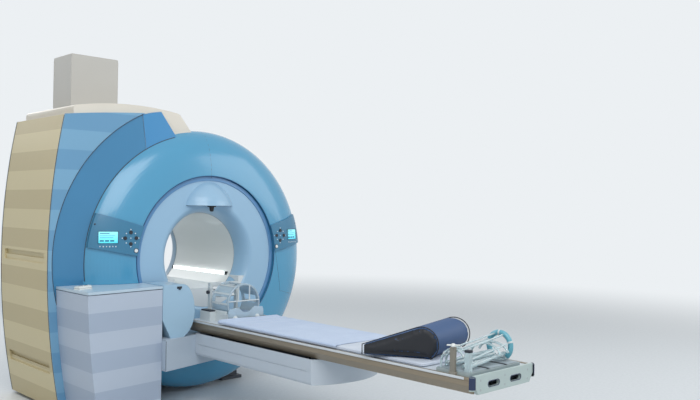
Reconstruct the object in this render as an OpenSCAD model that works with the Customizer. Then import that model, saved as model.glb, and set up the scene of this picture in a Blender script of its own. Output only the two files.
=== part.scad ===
// Short wide-bore magnetic resonance scanner with a side-mounted lifting patient table.
// The origin is on the floor, straight below the middle of the bore.
// X runs to the right seen from the table side, Y runs into the bore, Z is up.

/* [Bore and magnet] */
// Height of the bore axis above the floor
iso_h = 1070; // [1060:2:1080]
// Clear diameter of the patient bore
bore_d = 700; // [680:5:704]
// Depth of the scanner from ring face to rear cover
gantry_l = 1250; // [1240:5:1300]
// Wall of the glass-fibre bore tube
liner_t = 6; // [4:0.5:7]
// Radial gap between the nested tubes
nest_gap = 0.5; // [0.3:0.1:0.8]
// Radial thickness of the body coil former
body_coil_t = 16; // [10:1:18]
// Inner radius of the vacuum vessel
vessel_ri = 455; // [452:1:460]
// Outer radius of the vacuum vessel
vessel_ro = 930; // [900:5:940]
// Length of the vacuum vessel
vessel_l = 800; // [760:10:820]
// Steel wall of the vacuum vessel
vessel_t = 12; // [8:1:16]
// Vacuum gap between the vessel and the helium can
vacuum_gap = 45; // [35:5:55]
// Wall of the helium can
can_t = 8; // [6:1:12]
// Radial build of each main coil
coil_t = 60; // [40:5:80]

/* [Ring cover] */
// Outer radius of the front ring
ring_r = 1025; // [1005:5:1040]
// How far the centre of the ring's outline lies below the bore axis
ring_drop = 20; // [10:2:30]
// Inner radius of the ring cover
ring_ri = 642; // [638:1:650]
// How far the ring's crown bulges forward of its rim
ring_bulge = 193; // [170:5:200]
// Thickness of the moulded covers
cover_t = 7; // [5:1:9]
// Outer radius of the trim ring around the funnel
trim_ro = 636; // [630:1:636]
// Width of the trim ring
trim_w = 32; // [24:2:36]
// Outer radius of the bell mouth that turns into the bore
mouth_r = 428; // [420:2:440]
// Depth of the bell mouth
mouth_l = 150; // [130:5:170]

/* [Body covers] */
// Left side of the body at its widest, from the bore axis
side_x = 1239; // [1225:2:1250]
// Radius of the barrel curve of the side
side_r = 5356; // [5000:50:5800]
// How far the side cover's top lies below the crown of the top cover
side_drop = 93; // [80:1:110]
// Front plane of the body panels, from the middle of the bore
body_f = 495; // [490:1:500]
// Rear plane of the body panels, from the middle of the bore
body_b = 387; // [380:1:400]
// Radius of the arc that bounds the front panel
arc_r = 1213; // [1205:1:1220]
// Thickness of the front panel
panel_t = 15; // [10:1:18]
// Thickness of the side cover
side_t = 42; // [36:1:50]
// Depth of the grip slots in the side cover
slot_depth = 24; // [16:1:28]
// Height of a grip slot
slot_h = 76; // [50:2:80]
// Length of a grip slot
slot_l = 730; // [650:10:780]
// Height of the upper grip slot above the floor
slot_z1 = 1090; // [1000:5:1120]
// Height of the lower grip slot above the floor
slot_z2 = 315; // [280:5:360]
// Outer radius of the round rear half of the body
drum_r = 990; // [975:1:1000]
// Gap under the covers
floor_gap = 22; // [18:1:30]
// Height of the top cover's crown above the round half of the body
top_gap = 138; // [125:1:150]
// Width of the duct shaft
duct_w = 380; // [340:5:400]
// Depth of the duct shaft
duct_d = 315; // [280:5:340]
// Height of the duct shaft above the crown of the top cover
duct_l = 417; // [300:5:500]
// Distance of the duct's axis from the bore axis
duct_x = 724; // [700:2:740]

/* [Controls] */
// Height of a control panel at its inner end
pad_h = 212; // [204:2:220]
// How far a control panel stands proud of the ring
pad_t = 16; // [14:1:18]
// Diameter of the round direction keys
key_d = 26; // [20:1:28]
// Distance of the direction keys from the middle of the pad
key_pitch = 42; // [38:1:46]
// Travel of a key
key_travel = 2; // [1.5:0.25:2.5]
// Height of a key above its panel
key_h = 4; // [3.5:0.25:5]

/* [Column] */
// Height of the lift column
col_h = 899; // [895:1:920]
// Right side of the column, from the bore axis
col_x = 583; // [575:1:590]
// Left side of the column at its widest
col_side = 1185; // [1170:1:1195]
// Front of the column at its left corner
col_f = 985; // [975:1:995]
// Slant of the column's front, in depth across its width
col_slant = 84; // [70:2:96]
// Wall of the column's cover
col_t = 5; // [4:0.5:6]
// Thickness of the lid slab
lid_t = 18; // [14:1:22]
// Shadow gap under the lid slab
lid_gap = 5; // [3:0.5:8]
// Diameter of the lifting screw
screw_d = 40; // [32:1:44]
// Width of a guide rail
rail_w = 45; // [38:1:50]

/* [Table] */
// Height of the tabletop with the table lowered
table_h = 625; // [615:1:632]
// Length of the tabletop
table_l = 2624; // [2560:4:2660]
// Width over the side rails
table_w = 580; // [570:2:588]
// Thickness of the tabletop
table_t = 90; // [84:1:96]
// Distance of the tabletop's head end from the middle of the bore
table_y = 758; // [755:1:775]
// Width of a side rail
edge_w = 20; // [16:1:24]
// Height of the upright side of the tabletop
edge_h = 42; // [38:1:46]
// Height of the table beam
beam_h = 162; // [150:2:170]
// Width of the table beam
beam_w = 570; // [540:2:576]
// Distance of the beam's head end from the middle of the bore
beam_y = 905; // [895:1:915]
// Distance of the beam's foot end from the middle of the bore
beam_e = 2136; // [2080:4:2180]
// How far the nose of the beam bulges past its foot end
nose_l = 129; // [100:1:140]
// Wall of the beam
beam_t = 6; // [4:0.5:8]
// Running clearance between moving pieces
run = 0.3; // [0.3:0.05:0.5]
// How far the raised tabletop lies below the bore axis
raised_drop = 135; // [130:1:145]

/* [Accessories] */
// Thickness of the mattress
mat_t = 24; // [16:1:30]
// Length of the knee wedge
wedge_l = 442; // [400:2:480]
// Width of the knee wedge
wedge_w = 330; // [300:5:360]
// Turn of the knee wedge on the table
wedge_turn = 32; // [24:1:36]
// Outer radius of the head coil's helmet
helmet_r = 142; // [132:1:150]
// Length of the helmet
helmet_l = 210; // [180:5:230]
// Radius of the foot coil's hoops
hoop_r = 122; // [110:1:130]

/* [Hidden] */
$fn = 96;
big = 360;

cream = "#c9c3a6";
pale = "#c3d3df";
light_blue = "#8fb8d4";
ring_blue = "#3f86ad";
deep_blue = "#2a5f9e";
grey = "#9aa2a8";
dark = "#23262b";

top_h = iso_h + drum_r + top_gap;           // top cover's crown
side_h = top_h - side_drop;                 // top of the side cover
duct_h = top_h + duct_l;                    // top of the duct shaft
lift_range = iso_h - raised_drop - table_h; // travel of the lift
reach = side_x + 160;                       // past everything on either side

bore_r = bore_d / 2;
ring_z = iso_h - ring_drop;
ring_f = gantry_l / 2;           // foremost plane of the ring
face_f = ring_f - 25;            // plane of the funnel's face
rim_f = ring_f - 3 - ring_bulge; // widest plane of the ring
funnel_ro = trim_ro - trim_w;

body_coil_ri = bore_r + liner_t + nest_gap;
gradient_ri = body_coil_ri + body_coil_t + nest_gap;
gradient_ro = vessel_ri - nest_gap;
liner_f = face_f - mouth_l;      // where the bell mouth meets the tube
can_ri = vessel_ri + vessel_t + vacuum_gap;
can_ro = vessel_ro - vessel_t - vacuum_gap;
can_l = vessel_l - 2 * (vessel_t + vacuum_gap);

side_c = side_r - side_x;        // centre of the barrel curve
col_f_r = col_f - col_slant;     // front of the column at its right corner
table_z = table_h - table_t;     // underside of the tabletop, top of the beam
beam_z = table_z - beam_h;
lid_z = col_h - lid_t;
shelf_z = iso_h - 165;           // shelves beside the table's trough
trough_z = iso_h - raised_drop - table_t - 18; // floor of the trough for the raised tabletop
trough_w = table_w / 2 + 10;
table_end = table_y + table_l;

// ---- Tools of the drawing ----

// Extrudes a front-view outline along Y.
module along_y(y0, y1) translate([0, y1, 0]) rotate([90, 0, 0]) linear_extrude(y1 - y0) children();

// Turns a profile of radius and depth about the bore axis.
module turned(z = iso_h) translate([0, 0, z]) rotate([-90, 0, 0]) rotate_extrude($fn = 180) children();

module tube_y(ro, ri, y0, y1, z = iso_h) turned(z) translate([ri, y0]) square([ro - ri, y1 - y0]);

// Half plane left of the barrel curve, drawn as the big circle itself.
module barrel(inset = 0) translate([side_c, iso_h]) circle(r = side_r - inset, $fn = 720);

module rounded(size, r) {
    translate([r, 0]) square([size[0] - 2 * r, size[1]]);
    translate([0, r]) square([size[0], size[1] - 2 * r]);
    for (x = [r, size[0] - r], y = [r, size[1] - r]) translate([x, y]) circle(r = r, $fn = 48);
}

function bow(r0, r1, y0, y1, a0, a1, n) = [for (i = [0:n]) let (a = a0 + (a1 - a0) * i / n)
    [r0 + (r1 - r0) * sin(a), y0 + (y1 - y0) * cos(a)]];

// ---- Magnet ----

foot_x = 430;                // feet, from the middle of the bore
foot_y = 240;
foot_w = 200;
foot_bolt = 82;              // each bolt's distance from its foot's middle
module magnet_feet() color(grey) for (x = [-1, 1], y = [-1, 1]) difference() {
    union() {
        translate([x * foot_x - foot_w / 2, y * foot_y - foot_w / 2, 0]) cube([foot_w, foot_w, 25]);
        translate([x * foot_x - 70, y * foot_y - 70, 24]) cube([140, 140, 300]);
    }
    turned() translate([0, -foot_y - 120]) square([vessel_ro, 2 * foot_y + 240]);
    translate([x * (foot_x + foot_bolt), y * (foot_y + foot_bolt), -1]) cylinder(d = 18, h = 40);
}

module vacuum_vessel() color("#b9bec2") difference() {
    tube_y(vessel_ro, vessel_ri, -vessel_l / 2, vessel_l / 2);
    tube_y(vessel_ro - vessel_t, vessel_ri + vessel_t, vessel_t - vessel_l / 2, vessel_l / 2 - vessel_t);
}

// The helium can with its inner tube, which the coils are wound on, and the eight tie rods that hang it in the vacuum.
module helium_can() color("silver") {
    difference() {
        tube_y(can_ro, can_ri, -can_l / 2, can_l / 2);
        tube_y(can_ro - can_t, can_ri + can_t, can_t - can_l / 2, can_l / 2 - can_t);
    }
    for (s = [-1, 1], a = [45:90:315])
        translate([700 * cos(a), s * (can_l + vacuum_gap) / 2, iso_h + 700 * sin(a)])
            rotate([90, 0, 0]) cylinder(r = 14, h = vacuum_gap, center = true, $fn = 32);
}

module magnet_coils() color("#b5651d") {
    for (y = [-250, -110, 110, 250])
        tube_y(can_ri + can_t + coil_t, can_ri + can_t, y - 35, y + 35);
    for (y = [-260, 260])
        tube_y(can_ro - can_t, can_ro - can_t - coil_t * 0.7, y - 45, y + 45);
}

module gradient_coil() color("#7a8f5a") tube_y(gradient_ro, gradient_ri, -vessel_l / 2 - 30, vessel_l / 2 + 30);

module body_coil() color("#c98f4a") tube_y(gradient_ri - nest_gap, body_coil_ri, 100 - vessel_l / 2, vessel_l / 2 - 100);

cold_x = -300;
cold_y = 150;
module cold_head() color("silver") difference() {
    translate([cold_x, cold_y, iso_h]) {
        cylinder(r = 95, h = 920);
        cylinder(r = 60, h = 1010);
        translate([0, 0, 1009]) cylinder(r = 80, h = 60); // valve motor, under the top cover
    }
    turned() translate([0, -vessel_l / 2]) square([vessel_ro, vessel_l]);
}

duct_y = 80;
vent_r = 80;                 // bore of the vent line
vent_z = iso_h + 690;        // floor of its open length, where the burst disc sits
module vent_pipe() color("#d0d4d6") difference() {
    translate([-duct_x, duct_y, iso_h]) {
        cylinder(r = vent_r + 4, h = duct_h - 20 - iso_h);
        cylinder(r = vent_r + 40, h = vent_z + 10 - iso_h);
    }
    translate([-duct_x, duct_y, vent_z]) cylinder(r = vent_r, h = duct_h);
    turned() translate([0, -vessel_l / 2]) square([vessel_ro, vessel_l]);
}

// ---- Bore ----

module bore_liner() color(pale) tube_y(bore_r + liner_t, bore_r, -liner_f, liner_f);

// Bell mouth and face of the funnel, as radius and depth, thickened by t.
function funnel(t) = concat(
    [[funnel_ro, face_f - t], [mouth_r, face_f - t]],
    [for (i = [1:10]) let (a = 9 * i) [mouth_r - (mouth_r - bore_r - t) * sin(a), face_f - mouth_l + (mouth_l - t) * cos(a)]]);
function reversed(p) = [for (i = [len(p) - 1:-1:0]) p[i]];
module funnel_section() polygon(concat(funnel(0), reversed(funnel(cover_t))));

module front_funnel() color(light_blue) turned() mirror([0, 1]) funnel_section();

// The room inside the funnel and the bore, from the axis outwards.
module bore_room(gap) turned() {
    mirror([0, 1]) polygon(concat([[0, face_f - gap]], [for (q = funnel(0)) [q[0] - gap, q[1]]], [[bore_r - gap, 0], [0, 0]]));
    translate([0, -1]) square([bore_r - gap, liner_f + 1]);
}

module table_bridge() color(pale) difference() {
    intersection() {
        union() {
            translate([-700, -face_f + 14, 0]) cube([1400, mouth_l - 14, shelf_z]);
            translate([-700, -liner_f - 1, trough_z - 14]) cube([1400, 2 * liner_f, 14]);
        }
        bore_room(nest_gap);
    }
    translate([-trough_w, -face_f - 10, trough_z]) cube([2 * trough_w, gantry_l, 300]);
    translate([-trough_w, -liner_f, shelf_z - 60]) cube([2 * trough_w, gantry_l, 300]);
}

// Trim ring, with a flange behind it that reaches the ring cover's inner wall.
module trim_ring() color(deep_blue) difference() {
    turned() mirror([0, 1]) {
        translate([funnel_ro, face_f - 20]) square([trim_w, 26]);
        translate([funnel_ro, face_f - 20]) square([ring_ri - nest_gap - funnel_ro, 6]);
    }
    column_notch();
}

// Crowned section of the ring: an ellipse from the inner edge out to the rim, t in from the surface.
function ring_curve(t) = bow(ring_ri, ring_r - t, rim_f, ring_f - 3 - t, 0, 90, 20);
// The ring's full form without its hole, reaching back to the depth given.
module ring_form(t, back) turned(ring_z) mirror([0, 1]) polygon(concat([[0, back], [0, ring_f - 3 - t]], ring_curve(t), [[ring_r - t, back]]));
module bore_hole(r) translate([0, 0, iso_h]) rotate([90, 0, 0]) cylinder(r = r, h = 2000, center = true, $fn = 180);

module ring_cover() color(ring_blue) difference() {
    ring_form(0, rim_f - 25);
    difference() {
        ring_form(cover_t, rim_f - 25 + cover_t);
        bore_hole(ring_ri + cover_t);
    }
    bore_hole(ring_ri);
    // behind its rim a flange reaches in to the round body
    turned() mirror([0, 1]) translate([0, rim_f - 60]) square([drum_r + nest_gap, 60 - 25 + cover_t + 1]);
    column_notch();
    // the inner wall ends behind the funnel's face
    turned() mirror([0, 1]) translate([ring_ri - 1, rim_f - 30]) square([cover_t + 2, face_f - 40 - rim_f + 30]);
}

visor_z = iso_h + 406;       // flat underside of the hood
visor_back = 120;            // how far the hood's own axis lies behind the funnel's face
visor_r = sqrt(pow(218, 2) + pow(visor_back, 2));
module visor() color(light_blue) difference() {
    translate([0, -face_f + visor_back, visor_z]) rotate_extrude($fn = 120) polygon(concat(
        [[0, 0], [visor_r, 0]], [for (i = [1:12]) let (a = 7.5 * i) [visor_r * cos(a) * (1 - 0.25 * sin(a)), 8 + 225 * sin(a)]]));
    translate([-400, -face_f, visor_z - 100]) cube([800, 500, 500]);
}

module bore_camera() color(dark) {
    translate([-20, -face_f - 60, visor_z - 10]) cube([40, 60, 10]);
    translate([0, -face_f - 30, visor_z - 42]) cylinder(r1 = 15, r2 = 20, h = 32, $fn = 48);
}

light_z = iso_h - 158;
light_x = sqrt(pow(bore_r, 2) - pow(light_z - iso_h + 12, 2));
module bore_light() color("#dff6ff") intersection() {
    translate([light_x - 14, -380, light_z - 12]) cube([80, 800, 24]);
    tube_y(bore_r - nest_gap, bore_r - 12, -380, 420);
}
module light_ends() color(dark) intersection() {
    union() {
        translate([light_x - 14, -412, light_z - 14]) cube([80, 31.5, 28]);
        translate([light_x - 14, 420.5, light_z - 14]) cube([80, 20, 28]);
    }
    tube_y(bore_r - nest_gap, bore_r - 14, -430, 445);
}

// ---- Body covers ----

// Outline of the body in front view, from the barrel side to the top's crown.
tip_x = 520;                 // where the front panel is cut off beside the cap
crown_r = 8470;              // radius of the panels' top edge
crown_z = top_h - 14;        // and its height over the bore axis
module body_outline() intersection() {
    barrel();
    polygon(concat([[0, floor_gap], [-reach, floor_gap]],
        [for (i = [0:20]) let (x = -reach * (1 - i / 20)) [x, crown_z - x * x / (2 * crown_r)]]));
}

module front_panel() color("#a9bfd2") along_y(-body_f, -body_f + panel_t) difference() {
    intersection() {
        body_outline();
        translate([-reach, 0]) square([reach - tip_x, top_h]);
    }
    translate([0, iso_h]) circle(r = arc_r, $fn = big);
}

// Sloping band between the front panel's arc and the back of the ring.
band_ri = ring_r - 30;
band_ro = arc_r - nest_gap;
module band_ring() difference() {
    turned() mirror([0, 1]) polygon([
        [band_ri, rim_f - 12], [band_ro, body_f - 6], [band_ro, body_f - 6 - cover_t], [band_ri, rim_f - 12 - cover_t]]);
    translate([0, 0, ring_z]) rotate([90, 0, 0]) cylinder(r = ring_r + nest_gap, h = 2000, center = true, $fn = 180);
}

seam_x = 536;                // the seam between band and cap, at the height of the crown
cap_r = 378;                 // right edge of the cap at the same height
module seam_cut(side) // the region left or right of the seam
    along_y(-body_f - 40, 0) translate([0, top_h]) polygon(side < 0 ?
        [[-reach, -top_h], [-reach, 200], [-seam_x - 30, 200], [48 - seam_x, -300], [48 - seam_x, iso_h - top_h], [136 - seam_x, -top_h]] :
        [[-seam_x - 28, 200], [50 - seam_x, -300], [194 - cap_r, -300], [-cap_r - 5, -8], [-cap_r - 122, 200]]);
// All that lies in front of the band's back face, which the body's covers leave free.
module band_room() {
    turned() mirror([0, 1]) polygon([[0, rim_f - 12.5 - cover_t], [band_ri, rim_f - 12.5 - cover_t],
        [band_ro, body_f - 6.5 - cover_t], [band_ro, body_f + 100], [0, body_f + 100]]);
    ring_form(-nest_gap, rim_f - 25 - nest_gap);
}

module band_cover() color(deep_blue) intersection() {
    band_ring();
    seam_cut(-1);
    translate([-reach, -body_f - 50, floor_gap]) cube([reach, 400, 2 * side_h]);
}

module band_cap() color("#3d78c4") intersection() {
    band_ring();
    seam_cut(1);
    translate([-reach, -body_f - 50, floor_gap]) cube([reach, 400, top_h - floor_gap]);
}

module side_cover() color(cream) difference() {
    along_y(-body_f + panel_t + 0.5, body_b - panel_t - 0.5) difference() {
        intersection() {
            barrel();
            translate([-reach, floor_gap]) square([reach / 2, side_h - floor_gap]);
        }
        barrel(side_t);
    }
    band_room();
    // each slot is deep above its middle and has a shallower lip below
    for (z = [slot_z1, slot_z2], k = [0, 1]) along_y(-body_f + 74, -body_f + 74 + slot_l) difference() {
        translate([-reach, z - k * slot_h / 2]) square([reach / 2, slot_h / 2]);
        barrel(slot_depth * (k == 0 ? 1 : 0.5));
    }
}

// Outline of the top cover: upright left end, crowned top and a slope down to the ring on the right.
top_w = 1050;
module top_outline(t) intersection() {
    polygon([[-top_w + t, side_h - 60 - t], [-top_w + t, top_h + 10], [-226 - t, top_h + 10], [-115 - t, 2035 - t]]);
    translate([-500, top_h - t - 5200]) circle(r = 5200, $fn = 720);
}
module top_cover() color(cream) difference() {
    union() {
        along_y(-body_f + panel_t + 0.5, body_b - panel_t - 0.5) difference() {
            top_outline(0);
            top_outline(cover_t);
            translate([0, iso_h]) circle(r = drum_r + 1, $fn = big);
        }
        // ledge that closes the top of the side cover
        along_y(-body_f + panel_t + 0.5, body_b - panel_t - 0.5) intersection() {
            translate([-side_x, side_h - 12]) square([side_x - top_w + 4, cover_t]);
            barrel(side_t + nest_gap);
        }
    }
    band_room();
    translate([-duct_x - duct_w / 2 + 20, duct_y - duct_d / 2 + 20, 1900]) cube([duct_w - 40, duct_d - 40, 600]);
}

module drum_cover() color("#8aa6bd") difference() {
    intersection() {
        tube_y(drum_r, drum_r - cover_t, -rim_f + 26, gantry_l / 2 - 60);
        along_y(-gantry_l, gantry_l) translate([0, iso_h]) polygon([[-110, 1.2 * drum_r], [1.2 * drum_r, 1.2 * drum_r], [1.2 * drum_r, -1.2 * drum_r], [-300, -1.2 * drum_r], [-300, -470], [-110, 0]]);
    }
    for (x = [-1, 1], y = [-1, 1]) translate([x * foot_x - foot_w / 2 - 4, y * foot_y - foot_w / 2 - 4, 0]) cube([foot_w + 8, foot_w + 8, 400]);
}

module rear_panel() color("#a9bfd2") along_y(body_b - panel_t, body_b) difference() {
    body_outline();
    translate([0, iso_h]) circle(r = drum_r + 1, $fn = big);
    translate([-trough_w, 0]) square([trough_w + 100, iso_h]);
}

// The same funnel at the back, carried on outwards to the edge of the round body.
module rear_cover() color(light_blue) turned() polygon(concat(reversed(funnel(0)),
    [[drum_r - 60, face_f - 5], [drum_r, gantry_l / 2 - 59.5], [drum_r - cover_t, gantry_l / 2 - 59.5], [drum_r - 62, face_f - 5 - cover_t]],
    funnel(cover_t)));

module duct_shaft() color("#bdbab2") translate([-duct_x, duct_y]) {
    difference() {
        translate([0, 0, top_h - 60]) linear_extrude(duct_h - top_h + 60) difference() {
            square([duct_w, duct_d], center = true);
            square([duct_w - 8, duct_d - 8], center = true);
        }
        translate([duct_x, 0, 0]) along_y(-duct_d, duct_d) top_outline(0);
    }
    translate([0, 0, duct_h]) linear_extrude(4) difference() {
        square([duct_w - 4, duct_d - 4], center = true);
        circle(r = 90, $fn = 96);
    }
}

// ---- Control panels ----

// Each panel is a wedge plate that lies on the ring's crown and follows its curve.
pad_r = 985;                 // outer end of a panel, from the ring's centre
module pad_outline(s) mirror([s < 0 ? 1 : 0, 0]) translate([0, iso_h])
    polygon([[520, 4], [1040, 108], [1040, pad_h + 166], [520, pad_h + 14]]);
// Distance of a panel's face from the middle of the bore, at a point of the front view.
function pad_face(x, z) = let (a = asin((norm([x, z - ring_z]) - ring_ri) / (ring_r + pad_t - ring_ri)))
    rim_f + (ring_f - 3 + pad_t - rim_f) * cos(a);
pad_tilt = 6;                // lean of the keys, across the ring's crown
pad_x = 695;                 // middle of the direction keys
pad_z = iso_h + 162;
key_well = 7;                // depth of a key's well
stop_x = -42;
stop_y = -92;
screen_tilt = 20;            // lean of the screen, farther out on the crown
screen_x = 853;
screen_z = iso_h + 169;
screen_w = 135;
screen_h = 84;
screen_d = 9;                // depth of the screen's pocket
module on_ring(s, x, z, tilt) translate([s * x, -pad_face(x, z), z]) rotate([0, 0, s * tilt]) rotate([90, 0, 0]) children();
module on_pad(s) on_ring(s, pad_x, pad_z, pad_tilt) children();
module on_screen(s) on_ring(s, screen_x, screen_z, screen_tilt) rotate([-4, 0, 0]) children();
module key_hole(s, x, y) translate([s * x, y, -key_well]) cylinder(d = key_d + 2 * run, h = 40);

module control_panel(s) color("#2f6f93") difference() {
    intersection() {
        ring_form(-pad_t, rim_f);
        along_y(-ring_f - 60, -rim_f) pad_outline(s);
        translate([0, 0, ring_z]) rotate([90, 0, 0]) cylinder(r = pad_r, h = 2000, center = true, $fn = 180);
    }
    ring_form(0, 0);
    bore_hole(ring_ri - 4);
    on_pad(s) {
        for (k = [[0, 1], [0, -1], [1, 0], [-1, 0]]) key_hole(s, k[0] * key_pitch, k[1] * key_pitch);
        key_hole(s, stop_x, stop_y);
    }
    on_screen(s) translate([-screen_w / 2 - nest_gap, -screen_h / 2 - nest_gap, -screen_d]) cube([screen_w + 2 * nest_gap, screen_h + 2 * nest_gap, 40]);
}
module left_panel() control_panel(-1);
module right_panel() control_panel(1);

module screens() color("#66e0ff") for (s = [-1, 1]) on_screen(s)
    translate([-screen_w / 2, -screen_h / 2, -screen_d]) cube([screen_w, screen_h, 5]);

module key(s, x, y, c) color(c) on_pad(s) translate([s * x, y, -key_well + key_travel + run])
    cylinder(d = key_d, h = key_h + key_well - key_travel - run);

module direction_key(s, dx, dy) key(s, dx * key_pitch, dy * key_pitch, dark);
module left_key_up() direction_key(-1, 0, 1);
module left_key_down() direction_key(-1, 0, -1);
module left_key_in() direction_key(-1, 1, 0);
module left_key_out() direction_key(-1, -1, 0);
module left_stop() key(-1, stop_x, stop_y, "white");
module right_key_up() direction_key(1, 0, 1);
module right_key_down() direction_key(1, 0, -1);
module right_key_in() direction_key(1, 1, 0);
module right_key_out() direction_key(1, -1, 0);
module right_stop() key(1, stop_x, stop_y, "white");

// ---- Lift column ----

// Outside of the column's cover, or its inside t further in, from the floor up to height h.
module column_room(t, h) intersection() {
    translate([0, 0, t > 0 ? -1 : 8]) linear_extrude(t > 0 ? h + 1 : h - 8) polygon([
        [-col_side - 60, -col_f - col_slant * 60 / (col_side - col_x) + t], [-col_x - t, -col_f_r + t],
        [-col_x - t, -body_f - nest_gap - t], [-col_side - 60, -body_f - nest_gap - t]]);
    along_y(-1200, 0) translate([side_c, iso_h]) circle(r = side_r - side_x + col_side - t, $fn = 720);
}

// Room that the ring and its trim leave free for the column.
module column_notch() column_room(-nest_gap, col_h + nest_gap);

arm_z0 = beam_z - 120;       // underside of the arm's cover
arm_z1 = table_z - 35;       // top of the arm's cover
core_h = 130;                // height of the arm's steel core
core_z = arm_z0 + 55;
core_y0 = -860;
core_y1 = -640;
module column_cover() color("#b4b8b4") difference() {
    column_room(0, lid_z - lid_gap);
    column_room(col_t, lid_z - lid_gap - col_t);
    translate([-col_x - 30, core_y0 - 12, core_z - 10]) cube([60, core_y1 - core_y0 + 24, core_h + lift_range + 20]);
}

module column_lid() color("#d5d8d6") {
    intersection() {
        column_room(0, col_h);
        translate([-1400, -1200, lid_z]) cube([1400, 1200, 200]);
    }
    intersection() {
        column_room(24, lid_z);
        translate([-1400, -1200, lid_z - lid_gap]) cube([1400, 1200, lid_gap]);
    }
}

screw_x = -830;
guide_y = -600;
rail_x = 150;                // each rail's distance from the screw
guide_h = 845;
bolt_x = 360;
bolt_y = 260;
module guide_column() color("#8c9298") difference() {
    union() {
        // base plate, a close fit inside the foot of the cover
        intersection() {
            column_room(col_t + run, 16);
            translate([-1400, -1200, 0]) cube([1400, 1200, 16]);
        }
        for (s = [-1, 1]) translate([screw_x + s * rail_x - rail_w / 2, guide_y - rail_w / 2, 15]) cube([rail_w, rail_w, guide_h - 15]);
        translate([screw_x - 190, guide_y - 45, guide_h - 1]) cube([380, 90, 16]);
    }
    for (x = [-1, 1], y = [-1, 1]) translate([screw_x + x * bolt_x / 2, guide_y - 90 + y * bolt_y / 2, -1]) cylinder(d = 14, h = 30);
    translate([screw_x, guide_y, guide_h - 10]) cylinder(d = screw_d + 2 * run, h = 40);
    translate([screw_x, guide_y, 8]) cylinder(d = screw_d + 2 * run, h = 10);
}

module lift_screw() color("silver") translate([screw_x, guide_y, 8 + run]) {
    cylinder(d = screw_d, h = guide_h + 12 - 8);
    translate([0, 0, 16]) cylinder(d = 96, h = 20);
}

// Geared motor on the base plate, beside the screw's pulley.
module lift_motor() color("#3b4148") translate([screw_x, guide_y - 165, 16]) {
    translate([-60, -60, 0]) cube([120, 120, 60]);
    translate([0, 0, 59]) cylinder(d = 108, h = 130);
}

module hand_control() color("white") translate([75 - col_side, -body_f - 265, col_h]) rotate([0, 0, 24]) intersection() {
    rotate([0, 90, 0]) cylinder(d = 52, h = 120, center = true);
    translate([-70, -30, 0]) cube([140, 60, 24]);
}

// ---- Carriage, arm and beam: the pieces that rise with the lift ----

spar_x = 130;                // each spar's distance from the middle of the table
spar_y0 = -beam_e + 60;
spar_z = core_z + core_h;    // top of the arm's core and of the spars
module lift_carriage() color("#6f767d") difference() {
    union() {
        translate([screw_x - 190, guide_y - 48, core_z - 30]) cube([380, 96, 190]);
        translate([0, 0, core_z]) linear_extrude(core_h) polygon([
            [screw_x - 40, core_y0], [-330, core_y0], [spar_x + 30, core_y0 + arm_slope * (spar_x + 360)],
            [spar_x + 30, core_y1], [screw_x - 40, core_y1]]);
        for (s = [-1, 1]) translate([s * spar_x - 20, spar_y0, beam_z + beam_t]) cube([40, -spar_y0 - 700, spar_z - beam_z - beam_t]);
    }
    for (s = [-1, 1]) translate([screw_x + s * rail_x - rail_w / 2 - run, guide_y - rail_w / 2 - run, 0])
        cube([rail_w + 2 * run, rail_w + 2 * run, 900]);
    translate([screw_x, guide_y, 0]) cylinder(d = screw_d + 2 * run, h = 900);
}

arm_slope = 0.275;
arm_f = 957;                 // front of the arm at the column
arm_b = 634;                 // back of the arm, clear of the ring
arm_end = 210;
module arm_plan(t) polygon([
    [-col_x + 1, -arm_f + t], [arm_end - t, -arm_f + arm_slope * (arm_end + col_x) + t],
    [arm_end - t, -arm_b - t], [-col_x + 1, -arm_b - t]]);
module arm_cover() color("#c9cdd0") difference() {
    translate([0, 0, arm_z0]) linear_extrude(arm_z1 - arm_z0) arm_plan(0);
    translate([0, 0, arm_z0 + beam_t]) linear_extrude(arm_z1 - arm_z0 - 2 * beam_t) union() {
        arm_plan(beam_t);
        translate([-col_x, -arm_f + beam_t + 10]) square([20, arm_f - arm_b - 2 * beam_t - 10]);
    }
    spar_window();
}

// Opening for the two spars through the arm's front and the beam's head wall.
module spar_window() translate([-spar_x - 26, -1000, beam_z + beam_t]) cube([2 * spar_x + 52, 262, spar_z - beam_z]);

cap_x = -420;                // where the carriage cover's top rounds over
cap_z = 700;                 // its widest height
function cap_outline(t) = concat(
    [[-col_x + 1 + t, col_h + 6 - t], [cap_x, col_h + 6 - t]],
    [for (a = [80:-10:0]) [cap_x + (102 - t) * cos(a), cap_z + (col_h + 6 - t - cap_z) * sin(a)]],
    [for (a = [-10:-10:-90]) [-480 + (162 - t) * cos(a), cap_z + (cap_z - arm_z1 - nest_gap - t) * sin(a)]],
    [[-505, arm_z1 + nest_gap + t], [-col_x + 1 + t, 655 + t]]);
module carriage_cover() color("#a8c6d6") difference() {
    along_y(-905, -650) polygon(cap_outline(0));
    along_y(-905 + col_t, -650 - col_t) polygon(cap_outline(col_t));
}

// Plan of the beam: its head end lies along the arm, its foot end bows out to the nose.
nose_r = 520;
module beam_plan(t) difference() {
    union() {
        translate([-beam_w / 2 + t, -beam_e - nose_l + nose_r]) square([beam_w - 2 * t, beam_e]);
        intersection() {
            translate([-beam_w / 2 + t, -beam_e - nose_l]) square([beam_w - 2 * t, nose_r + 1]);
            translate([20, -beam_e - nose_l + nose_r]) circle(r = nose_r - t, $fn = big);
        }
    }
    translate([-800, 0]) polygon([
        [0, -arm_f - 0.5 - t - arm_slope * (800 - col_x)], [1600, -arm_f - 0.5 - t + arm_slope * (800 + col_x)],
        [1600, 2000], [0, 2000]]);
}

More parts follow.
